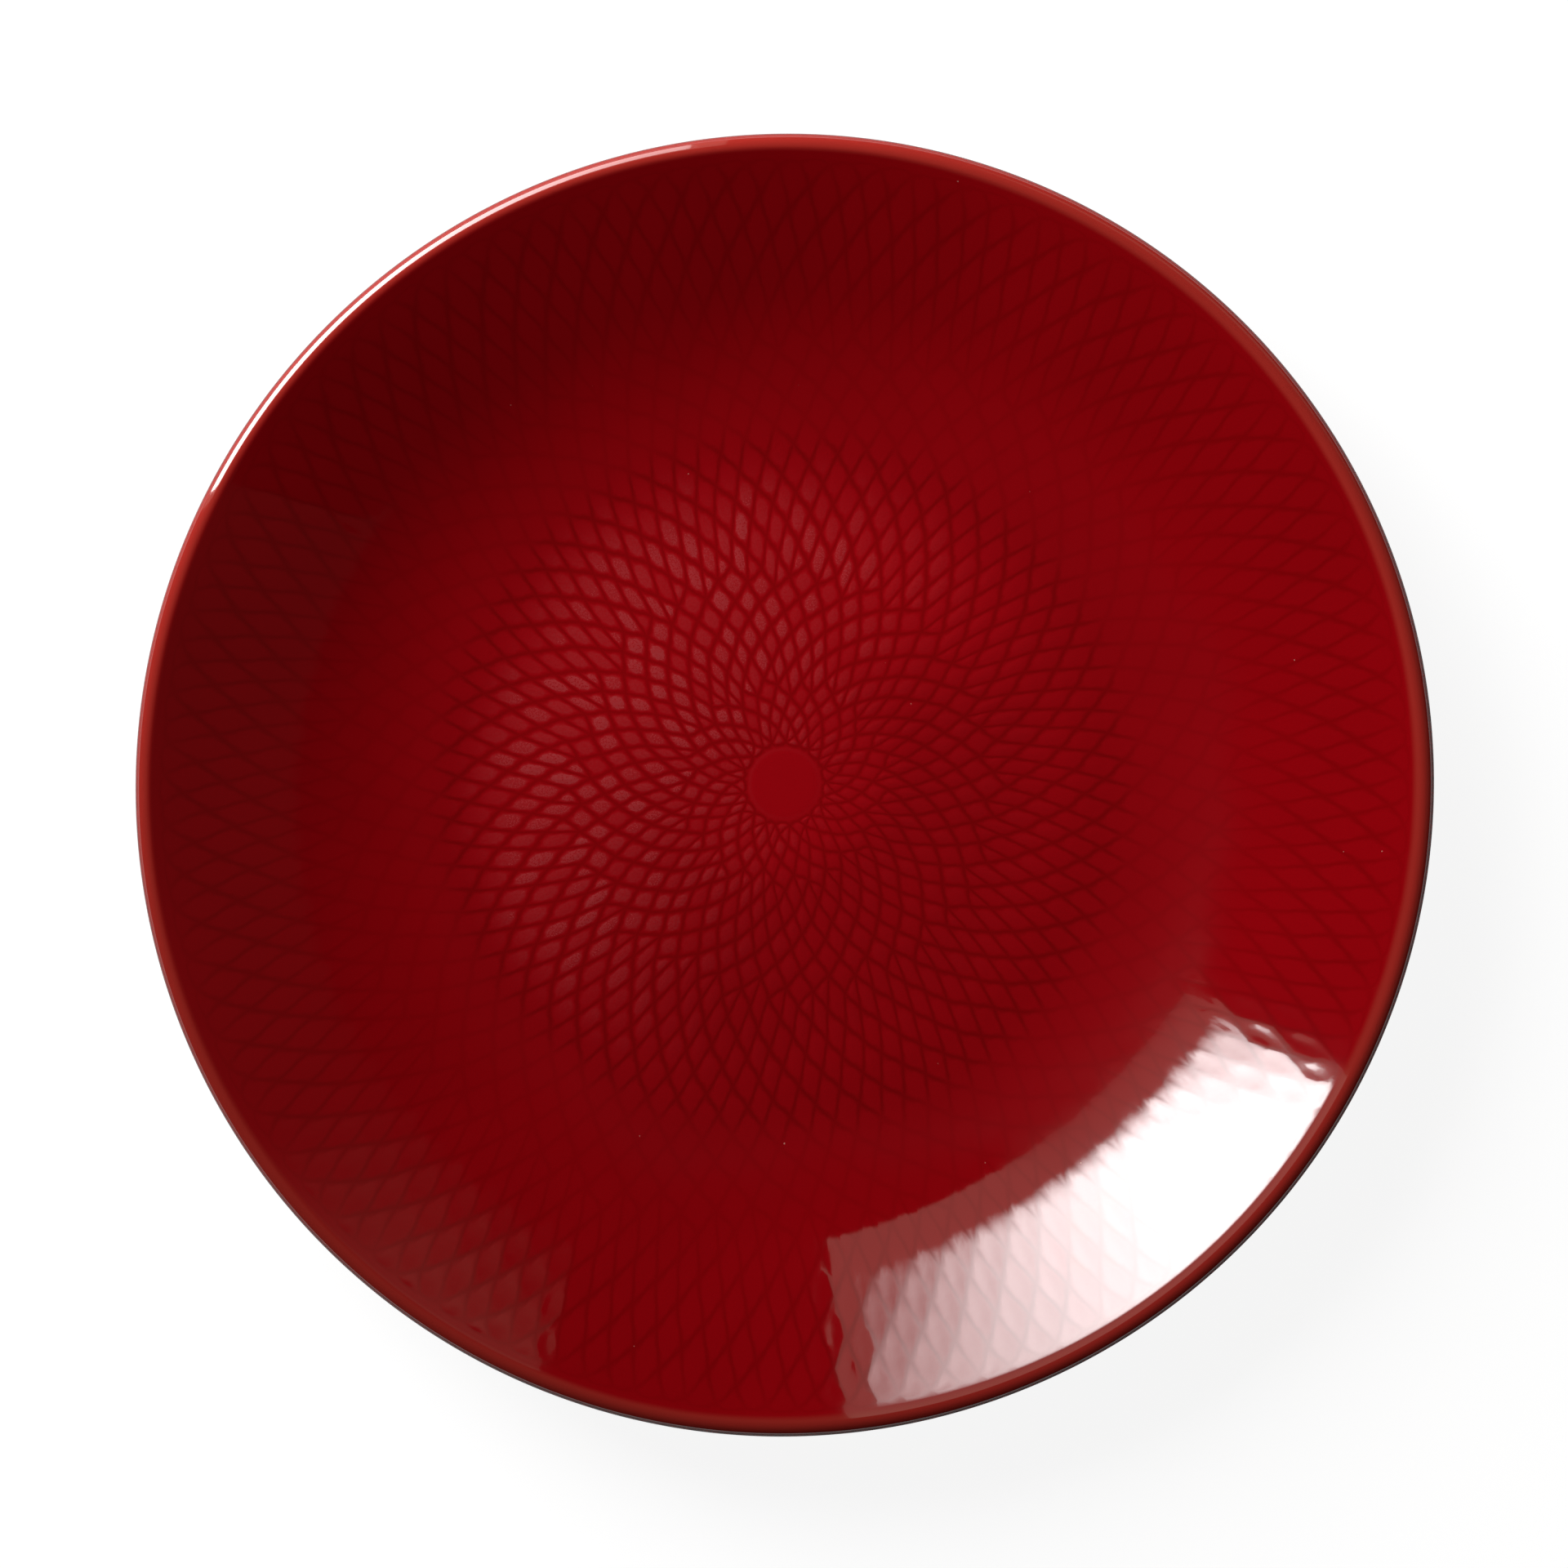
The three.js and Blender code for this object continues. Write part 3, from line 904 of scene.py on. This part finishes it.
def face_masks(nodes, skin, place):
    """The wandering radius, and the masks well, wall, hollow, pooled and frost_and_sheen, whose sheen
    is painted.
    """
    groove, depth, tone = (attribute(nodes, name) for name in ("groove", "depth", "tone"))
    wander = nodes.times(nodes.minus(skin["Clouds"], 0.5), EDGE_WANDER)
    radius = nodes.plus(nodes.plan(place)[1], wander)
    later = nodes.smooth(nodes.along(place, WORN_SIDE), *WORN_REACH)
    wall = nodes.smooth(nodes.line(later, -WORN_SHIFT, radius), *WET_EDGE)
    well = nodes.rest(nodes.smooth(radius, *WELL_EDGE))
    hollow = nodes.smooth(groove, *HOLLOW)
    pooled = nodes.times(hollow, nodes.smooth(depth, 0.0, FULL_POOL))
    crest = nodes.rest(nodes.smooth(groove, *CREST_EDGE))
    speckle = nodes.times(nodes.line(skin["Grain"], *SPECKLE), nodes.line(tone, *PAD_TONE))
    # painted sheen: the crests' bloom is painted strongest towards one side
    side = nodes.smooth(nodes.along(place, PAINTED_SHEEN_SIDE), *PAINTED_SHEEN_REACH)
    painted_sheen = nodes.times(well, nodes.line(side, 1 - LEAST_PAINTED_SHEEN, LEAST_PAINTED_SHEEN))
    frost_and_sheen = nodes.times(nodes.times(crest, speckle), nodes.times(painted_sheen, depth), clamp=True)
    return radius, well, wall, hollow, pooled, frost_and_sheen


# %% Shade of the face
CLOUD_SHADE = 0.08
WALL_SHADE = 0.79
PAINTED_LIGHT_SIDE = Vector((0.26, 0.966, 0))  # painted light: the coat is painted lighter towards this side
PAINTED_LIGHT_GAIN = 1.6  # for one metre that way
DARKER_WELL_SIDE = Vector((0.64, -0.77, 0))  # the well is darker in a ring towards this side
DARKER_WELL_REACH = 25 * MM
DARKER_RING_STARTS = (12 * MM, 28 * MM)
DARKER_RING_ENDS = (50 * MM, 68 * MM)
DARKER_RING = 0.17


def face_shade(nodes, skin, place, radius, well):
    """How light the coat is against its plain red: random clouds, a darker wall, painted light towards
    one side and a darker ring in the well.
    """
    clouds = nodes.line(skin["Clouds"], CLOUD_SHADE, 1 - CLOUD_SHADE / 2)
    shade = nodes.times(clouds, nodes.line(well, 1 - WALL_SHADE, WALL_SHADE))
    # painted light: the colour grows lighter towards one side
    painted_light = nodes.line(nodes.along(place, PAINTED_LIGHT_SIDE), PAINTED_LIGHT_GAIN, 1.0)
    # a ring of the well made darker towards one side
    ring = nodes.minus(nodes.smooth(radius, *DARKER_RING_STARTS), nodes.smooth(radius, *DARKER_RING_ENDS))
    side = nodes.smooth(nodes.along(place, DARKER_WELL_SIDE), -DARKER_WELL_REACH, DARKER_WELL_REACH)
    ring_darkening = nodes.line(nodes.times(ring, side), -DARKER_RING, 1.0)
    return nodes.times(nodes.times(shade, painted_light), ring_darkening)


# %% Face glaze
WET = 0.05  # roughness of the wall
SATIN = 0.17  # and of the well
FROST = 0.20  # roughness that the frosted crests add
GRIT = 0.0020  # height of the well's grain, in millimetres
WALL_GRIT = 0.0002
THIN_COAT = 0.12  # what a groove takes from the wet coat


def face_glaze():
    finish, nodes, shader = material("red_face_glaze")
    skin = nodes.add("ShaderNodeGroup", node_tree=glaze_skin).outputs
    place = object_place(nodes)
    radius, well, wall, hollow, pooled, frost_and_sheen = face_masks(nodes, skin, place)
    colour = mix_colour(nodes, pooled, PLAIN_RED, POOLED_RED)
    # frosted crests: partly real frost, partly a painted sheen
    colour = mix_colour(nodes, frost_and_sheen, colour, FROSTED_SHEEN_RED)
    colour = scaled(nodes, colour, face_shade(nodes, skin, place, radius, well))
    colour = over_lip(nodes, place, colour)
    colour = mix_colour(nodes, skin["Pinholes"], colour, PINHOLE)
    matt = nodes.rest(wall)
    roughness = nodes.line(frost_and_sheen, FROST, nodes.line(matt, SATIN - WET, WET))
    grit = nodes.times(skin["Grain"], nodes.line(matt, GRIT, WALL_GRIT))
    feed(nodes, shader, {
        **GLASSY, "Base Color": colour, "Roughness": roughness,
        "Coat Weight": nodes.times(wall, nodes.line(hollow, -THIN_COAT, 1.0)),
        "Normal": bump(nodes, nodes.plus(skin["Peel"], grit)),
    })
    return finish


red_face_glaze = face_glaze()
print("nodes in", red_face_glaze.name + ":", len(red_face_glaze.node_tree.nodes))

# %% [markdown]
# Now the relief nodes get the glaze and run once. A modifier's inputs are set by the identifier
# of the socket, before the first evaluation.

# %% Face coat
relief = face_draft.modifiers.new("relief", "NODES")
relief.node_group = relief_nodes
for item in relief.node_group.interface.items_tree:
    if item.name == "Glaze":
        relief[item.identifier] = red_face_glaze
face = fired(face_draft)
face.name = face.data.name = "glaze_face"

# %% [markdown]
# ## The turned pieces
# The coat on the underside, the island of glaze inside the foot ring and the clay itself are all
# turned, so each is one section carried round the axis. A spin modifier would do it too; a loop
# in code also allows the faint spiral that a potter's fingers leave on the back. The glaze ends
# in a rolled edge above the bare foot, and it fills the corner between foot and wall.

# %% Turned pieces
TURN_STEPS = 288
THROW_PITCH = 4.5 * MM
THROW_HEIGHT = 0.035 * MM
ROLL = glaze / 2  # radius of the glaze's rolled edge
ROLL_STEPS = 8
ROUND_STEPS = 6


def thrown(radius, angle, share):
    """How far a finger ring moves the surface: a spiral groove that fades by its share."""
    turns = radius / THROW_PITCH - angle / (2 * math.pi)
    return THROW_HEIGHT * share * math.sin(2 * math.pi * turns)


def ring_shares(steps, fade):
    """Shares of the finger rings along a line, which they fill but for the fades at its ends."""
    return [min(1.0, k / fade, (steps - k) / fade) for k in range(steps + 1)]


def turned(name, section, shares=None, past=None):
    """A closed solid of one section. A section point on the axis becomes one point."""
    cage = Cage()
    turns = spread(0, 2 * math.pi, TURN_STEPS)[:-1]
    plain = [0.0] * len(section)
    loops = []
    for (radius, height), share, passed in zip(section, shares or plain, past or plain):
        places = [polar(radius, angle, height - thrown(radius, angle, share)) for angle in turns]
        kept = places if radius else places[:1]
        loops.append([cage.point(place, past_wall=passed) for place in kept])
    following = loops[1:] + (loops[:1] if len(loops[0]) > 1 else [])
    for first, second in zip(loops, following):
        if len(first) == 1:
            cage.fan(second, first[0], up=True)
        elif len(second) == 1:
            cage.fan(first, second[0], up=False)
        else:
            cage.bridge(first, second)
    return fired(cage.piece(name))


def arc(centre, radius, start, end, steps):
    """Points on an arc of the section. Angles are in degrees, from the radius outwards."""
    return [
        (centre[0] + radius * math.cos(math.radians(a)), centre[1] + radius * math.sin(math.radians(a)))
        for a in spread(start, end, steps)
    ]


# %% Coat on the underside
FILLET = 0.9 * MM
LIP_STEPS = 14
UNDER_STEPS = 72
UNDER_FADE = 18  # steps over which the finger rings fade at either end
SEAT_STEPS = 12
SEAT_LIP_STEPS = 8
outer_end = back_end_radius + glaze * math.sin(wall_angle)
fillet_end = FOOT_OUTER_RADIUS + glaze + FILLET
bead_outside = bead_section(glazed_bead, parting_angle, math.pi, LIP_STEPS)
under = back_section(outer_end, fillet_end, UNDER_STEPS, glaze)
corner = arc((fillet_end, back_height(fillet_end, glaze) - FILLET), FILLET, 90, 180, ROUND_STEPS)
roll = arc((FOOT_OUTER_RADIUS + ROLL, bare_height + ROLL), ROLL, 0, -180, ROLL_STEPS)
seated = back_section(FOOT_OUTER_RADIUS, back_end_radius, SEAT_STEPS, 0)
bead_inside = bead_section(bead, math.pi, parting_angle, SEAT_LIP_STEPS)
section = bead_outside + under + corner + roll + seated + bead_inside
share = [0.0] * len(bead_outside) + ring_shares(UNDER_STEPS, UNDER_FADE)
share += [0.0] * (len(section) - len(share))
past = [glazed_bead * angle / MM for angle in spread(parting_angle, math.pi, LIP_STEPS)]
past += [past[-1] + (outer_end - radius) / MM for radius, _ in section[len(past):]]
back = turned("glaze_back", section, share, past)

# %% Coat inside the foot
WELL_FILLET = 0.6 * MM
CEILING_STEPS = 64
CEILING_FADE = 8
fillet_start = foot_inner_radius - glaze - WELL_FILLET
lid = back_section(back_level_radius, foot_inner_radius, ROUND_STEPS, 0)
roll = arc((foot_inner_radius - ROLL, bare_height + ROLL), ROLL, 0, -180, ROLL_STEPS)
corner_centre = (fillet_start, back_height(fillet_start, glaze) - WELL_FILLET)
corner = arc(corner_centre, WELL_FILLET, 0, 90, ROUND_STEPS)
ceiling = back_section(fillet_start, THROW_PITCH / 4, CEILING_STEPS, glaze)
upper = [(0, foot_height)] + lid + roll + corner
section = upper + ceiling + [(0, foot_height - glaze)]
share = [0.0] * len(upper) + ring_shares(CEILING_STEPS, CEILING_FADE) + [0.0]
foot_well = turned("glaze_foot_well", section, share)

# %% Clay body
CLAY_STEPS = 24
CLAY_LIP_STEPS = 18
BARE_STEPS = 4
clay_wall_end = lip_radius - bead * math.sin(wall_angle)
clay_radii = spread(WELL_RADIUS, clay_wall_end, CLAY_STEPS)
clay_face = [(0, well_height)] + [(radius, face_height(radius, 0)) for radius in clay_radii]
clay_bead = bead_section(bead, 0, math.pi, CLAY_LIP_STEPS)[1:]
clay_back = back_section(back_end_radius, FOOT_OUTER_RADIUS, CLAY_STEPS, 0)[1:]
bare_heights = spread(bare_height + glaze, FOOT_ROUNDING, BARE_STEPS)[:-1]
bare = [(FOOT_OUTER_RADIUS, height) for height in bare_heights]
outer_centre = (FOOT_OUTER_RADIUS - FOOT_ROUNDING, FOOT_ROUNDING)
inner_centre = (foot_inner_radius + FOOT_ROUNDING, FOOT_ROUNDING)
outer_round = arc(outer_centre, FOOT_ROUNDING, 0, -90, ROUND_STEPS)
inner_round = arc(inner_centre, FOOT_ROUNDING, -90, -180, ROUND_STEPS)
bare_inside = [(foot_inner_radius, height) for height in reversed(bare_heights)]
clay_well = lid[::-1] + [(0, foot_height)]
foot = bare + outer_round + inner_round + bare_inside
clay = turned("stoneware_body", clay_face + clay_bead + clay_back + foot + clay_well)

# %% [markdown]
# ## The red glaze on the back, and the bare clay
# The back is the same glaze, a shade deeper because it lies over plain clay. It has no stamped
# relief, only the throwing rings, and it breaks brown over the lip as the face does. The
# clay shows on the foot ring alone. It is matt and gritty, toasted darker where the glaze's edge
# drew a little of its colour into it.

# %% Back glaze
BACK_RED = (0.185, 0.0010, 0.0026, 1)
BACK_SHADE = (0.2, 0.88)  # slopes and starts over the clouds, for these three
BACK_ROUGHNESS = (0.06, 0.07)
BACK_COAT = (0.2, 0.8)
ROLLED_SHARE = 0.7  # how far the rolled edge over the foot breaks brown
ROLLED_HEIGHT = 1.1 * glaze


def back_glaze():
    finish, nodes, shader = material("red_back_glaze")
    sizes = {"Peel Height": 0.006, "Peel Size": 3.2}
    skin = nodes.add("ShaderNodeGroup", sizes, node_tree=glaze_skin).outputs
    place = object_place(nodes)
    colour = scaled(nodes, BACK_RED[:3], nodes.line(skin["Clouds"], *BACK_SHADE))
    colour = over_lip(nodes, place, colour)
    rolled = nodes.smooth(nodes.part(place, "Z"), bare_height, bare_height + ROLLED_HEIGHT)
    browned = nodes.times(nodes.rest(rolled), ROLLED_SHARE)
    colour = mix_colour(nodes, browned, colour, BROKEN_RED)
    colour = mix_colour(nodes, skin["Pinholes"], colour, PINHOLE)
    feed(nodes, shader, {
        **GLASSY, "Base Color": colour, "Normal": bump(nodes, skin["Peel"]),
        "Roughness": nodes.line(skin["Clouds"], *BACK_ROUGHNESS),
        "Coat Weight": nodes.line(skin["Clouds"], *BACK_COAT),
    })
    return finish


# %% Bare clay
CLAY = (0.43, 0.25, 0.14, 1)
CLAY_DARK = (0.30, 0.155, 0.080, 1)
TOASTED = (0.22, 0.070, 0.028, 1)
CLAY_SPOTS, CLAY_GRIT, CLAY_GRAIN = 180.0, 900.0, 2600.0  # how many in a metre
DOTS = (0.10, 0.22)
DOT_SHARE = 0.55
TOAST_STARTS = 1.1 * MM
TOAST_WANDER = 0.9 * MM
CLAY_ROUGHNESS = (0.15, 0.75)  # slope and start over the grain
GRAIN_HEIGHT, GRIT_HEIGHT = 0.05, 0.03  # in millimetres


def bare_clay():
    finish, nodes, shader = material("stoneware")
    place = object_place(nodes)
    body = noise(nodes, place, CLAY_SPOTS, detail=5.0)
    grit = voronoi(nodes, place, CLAY_GRIT)["Distance"]
    grain = noise(nodes, place, CLAY_GRAIN, detail=3.0)
    colour = mix_colour(nodes, nodes.smooth(body, *GRAIN_EDGE), CLAY, CLAY_DARK)
    dots = nodes.rest(nodes.smooth(grit, *DOTS))
    colour = mix_colour(nodes, nodes.times(dots, DOT_SHARE), colour, TOASTED)
    height = nodes.line(nodes.minus(body, 0.5), TOAST_WANDER, nodes.part(place, "Z"))
    colour = mix_colour(nodes, nodes.smooth(height, TOAST_STARTS, bare_height), colour, TOASTED)
    feed(nodes, shader, {
        "Base Color": colour, "Roughness": nodes.line(grain, *CLAY_ROUGHNESS), "IOR": 1.5,
        "Normal": bump(nodes, nodes.line(grain, GRAIN_HEIGHT, nodes.times(grit, GRIT_HEIGHT))),
    })
    return finish


red_back_glaze = back_glaze()
stoneware = bare_clay()
for piece, finish in ((back, red_back_glaze), (foot_well, red_back_glaze), (clay, stoneware)):
    piece.data.materials.append(finish)
print("materials:", [finish.name for finish in (red_face_glaze, red_back_glaze, stoneware)])

# %% [markdown]
# ## The table and the background
# The plate stands on a plain white table in front of white. The table is a large disc. The camera
# sees it glow almost white, with only a soft shadow on it. In the glaze's reflections the near
# part of it is a dull sheet, lit and shaded as it is, and the far part glows white. Under the
# plate it gives off a little light, so that the foot and the inside of its ring can be seen.
# Seen from below it is clear, so the foot can be looked at. The room above the horizon is dark,
# as in a studio, so that the gloss mirrors the lamps alone.

# %% Shaders of the background
def seen_directly(nodes):
    """1 for rays that show the background itself: from the camera, mirrored or through glass."""
    path = nodes.add("ShaderNodeLightPath").outputs
    seen = nodes.math("MAXIMUM", path["Is Camera Ray"], path["Is Glossy Ray"])
    return nodes.math("MAXIMUM", seen, path["Is Transmission Ray"])


def sheet(nodes, level):
    return nodes.add("ShaderNodeBsdfDiffuse", {"Color": (level, level, level, 1)}).outputs[0]


def shining(nodes, strength):
    return nodes.add("ShaderNodeEmission", {"Strength": strength}).outputs[0]


def together(nodes, first, second):
    return nodes.add("ShaderNodeAddShader", {0: first, 1: second}).outputs[0]


def chosen(nodes, factor, first, second):
    return nodes.add("ShaderNodeMixShader", {0: factor, 1: first, 2: second}).outputs[0]


# %% Table
TABLE_RADIUS = 12.0
TABLE_POINTS = 96
SHADOW_REACH = 0.35
NEAR_GLOW = 0.90
SHADED_SHEET = 0.13  # the part of the picture's ground that a shadow can take away
SHEET = 0.8
DULL_SHEET = 0.25
UNDERGLOW = 0.35
UNDER_PLATE = (0.09, 0.125)


def table():
    turns = spread(0, 2 * math.pi, TABLE_POINTS)[:-1]
    points = [(0, 0, 0)] + [polar(TABLE_RADIUS, angle, 0) for angle in turns]
    faces = [(0, k + 1, (k + 1) % TABLE_POINTS + 1) for k in range(TABLE_POINTS)]
    disc = piece_from("table", points, faces)
    finish = bpy.data.materials.new("table_white")
    nodes = blank_tree(finish)
    place = object_place(nodes)
    away = nodes.add("ShaderNodeVectorMath", {0: place}, operation="LENGTH").outputs["Value"]
    far = nodes.smooth(away, SHADOW_REACH, 2 * SHADOW_REACH)
    glow = shining(nodes, nodes.line(far, 1 - NEAR_GLOW, NEAR_GLOW))
    shown = together(nodes, glow, sheet(nodes, SHADED_SHEET))
    under = nodes.times(nodes.rest(nodes.smooth(away, *UNDER_PLATE)), UNDERGLOW)
    lit = together(nodes, sheet(nodes, SHEET), shining(nodes, under))
    mirrored = nodes.add("ShaderNodeLightPath").outputs["Is Glossy Ray"]
    near_mirrored = nodes.times(mirrored, nodes.rest(far))
    plain = chosen(nodes, near_mirrored, lit, sheet(nodes, DULL_SHEET))
    front = chosen(nodes, nodes.minus(seen_directly(nodes), near_mirrored), plain, shown)
    clear = nodes.add("ShaderNodeBsdfTransparent").outputs[0]
    behind = nodes.add("ShaderNodeNewGeometry").outputs["Backfacing"]
    nodes.add("ShaderNodeOutputMaterial", {"Surface": chosen(nodes, behind, front, clear)})
    finish.cycles.emission_sampling = "NONE"
    disc.data.materials.append(finish)
    return disc


floor = table()
print("table of", TABLE_RADIUS, "m radius")

# %% World
HORIZON = 0.03
OVERHEAD = 0.16
FILL = 0.07
DARK_ROOM = 0.004


def white_world():
    world = bpy.data.worlds.new("studio")
    nodes = blank_tree(world)
    direction = nodes.add("ShaderNodeTexCoord").outputs["Generated"]
    dark_above = nodes.smooth(nodes.part(direction, "Z"), HORIZON, OVERHEAD)
    camera_ray = nodes.add("ShaderNodeLightPath").outputs["Is Camera Ray"]
    mirrored = nodes.times(dark_above, nodes.rest(camera_ray))
    shown = nodes.line(mirrored, DARK_ROOM - 1, 1.0)
    levels = {"Factor": seen_directly(nodes), "A": FILL, "B": shown}
    strength = nodes.add("ShaderNodeMix", levels, data_type="FLOAT").outputs[0]
    glow = nodes.add("ShaderNodeBackground", {"Strength": strength}).outputs[0]
    nodes.add("ShaderNodeOutputWorld", {"Surface": glow})
    bpy.context.scene.world = world
    print("world:", world.name)


white_world()

# %% [markdown]
# ## The lamps
# One upright softbox at the upper left does nearly all the work. Its reflection is the white patch
# in the lower right of the wall: a wall that slopes by an angle mirrors the light from twice that
# angle on the opposite side. So the patch's two straight ends give the lamp's upright edges, its
# inner edge gives the lamp's top, and how fast the shading falls off round the wall gives its
# foot. The patch is duller at one end and blurred along its inner edge, so the lamp burns dimmer
# towards one side and fades out at its top: its own nodes read where on it a point lies.
# A wide, weak, warm spill round it gives the brown rim of the patch. A dim panel under the ceiling on
# the right gives the pale veil on the left wall, which fades towards the middle of the plate: so
# the panel's nodes fade it by how steeply a point on it stands over the plate. Lamps could also
# be placed by eye, but a measured one lands its reflection right the first time.

# %% Lamp helper
def soft_lamp(name, width, height, radiance, glow, colour):
    """An area lamp. Its radiance is 1 for white, times what the given function of its nodes says."""
    data = bpy.data.lights.new(name, "AREA")
    data.shape = "RECTANGLE"
    data.size, data.size_y = width, height
    data.energy = radiance * math.pi * width * height
    data.color = colour
    nodes = blank_tree(data)
    nodes.add("ShaderNodeOutputLight", {0: shining(nodes, glow(nodes))})
    lamp = bpy.data.objects.new(name, data)
    lamp.visible_camera = False
    bpy.context.scene.collection.objects.link(lamp)
    return lamp


# %% Upright softbox
DIM_REACH = 0.8  # share of the width over which the dim end brightens
WHITE = (1, 1, 1)
WARM = (1, 0.9, 0.75)


def upright_softbox(name, azimuth, distance, half_angle, low, high, radiance, dim_end, fade, colour):
    """A soft lamp with upright edges that faces the plate's axis. Its end of lower azimuth shines
    at the given share, and its top fades out over the given height."""
    azimuth, half_angle = math.radians(azimuth), math.radians(half_angle)
    out, side = Vector(polar(1, azimuth, 0)), Vector(polar(1, azimuth + math.pi / 2, 0))

    def glow(nodes):
        point = nodes.add("ShaderNodeNewGeometry").outputs
        across = nodes.smooth(nodes.part(point["Parametric"], "X"), 0.0, DIM_REACH)
        level = nodes.line(across, 1 - dim_end, dim_end)
        faded = nodes.smooth(nodes.part(point["Position"], "Z"), high - fade, high)
        return nodes.times(level, nodes.rest(faded))

    lamp = soft_lamp(name, 2 * distance * math.tan(half_angle), high - low, radiance, glow, colour)
    turn = Matrix((side, Vector((0, 0, 1)), out)).transposed()
    place = out * distance + Vector((0, 0, (low + high) / 2))
    lamp.matrix_world = Matrix.Translation(place) @ turn.to_4x4()


upright_softbox(
    "key_softbox", azimuth=126.3, distance=1.1, half_angle=28, low=0.25, high=1.66,
    radiance=15.0, dim_end=0.25, fade=0.24, colour=WHITE,
)
upright_softbox(
    "softbox_spill", azimuth=125.5, distance=1.15, half_angle=30.6, low=0.2, high=2.42,
    radiance=0.5, dim_end=1.0, fade=0.1, colour=WARM,
)

# %% Ceiling panel
PANEL_HEIGHT = 1.6
PANEL_LOW = (0.57, -0.8)
PANEL_HIGH = (2.3, 1.9)
PANEL_RADIANCE = 0.235
PANEL_COLOUR = (1, 1, 0.75)
PANEL_EDGE = (0.775, 0.86)  # distance from the plate's axis, over the panel's height
PANEL_DIM = (0.65, 1.35)
PANEL_LEAST = 0.07


def panel_glow(nodes):
    """Fades where the panel stands steeply over the plate, and towards -Y."""
    position = nodes.add("ShaderNodeNewGeometry").outputs["Position"]
    away = nodes.math("DIVIDE", nodes.plan(position)[1], PANEL_HEIGHT)
    lit = nodes.smooth(nodes.part(position, "Y"), *PANEL_DIM)
    lit = nodes.line(lit, 1 - PANEL_LEAST, PANEL_LEAST)
    return nodes.times(nodes.smooth(away, *PANEL_EDGE), lit)


panel_size = [high - low for low, high in zip(PANEL_LOW, PANEL_HIGH)]
panel = soft_lamp("ceiling_panel", *panel_size, PANEL_RADIANCE, panel_glow, PANEL_COLOUR)
panel.location = [(low + high) / 2 for low, high in zip(PANEL_LOW, PANEL_HIGH)] + [PANEL_HEIGHT]

# %% [markdown]
# ## The pieces on the body
# Each piece rides on the plate's one body and stands for its solid, which is hidden.

# %% Ride, replace and finish
for piece, node, slot in (
    (face, "face_glaze", "red_face_glaze"),
    (back, "back_glaze", "red_back_glaze"),
    (foot_well, "foot_well_glaze", "red_back_glaze"),
    (clay, "clay_body", "stoneware"),
):
    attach(piece, "root")
    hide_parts(node)

bpy.context.scene.view_settings.view_transform = "Standard"
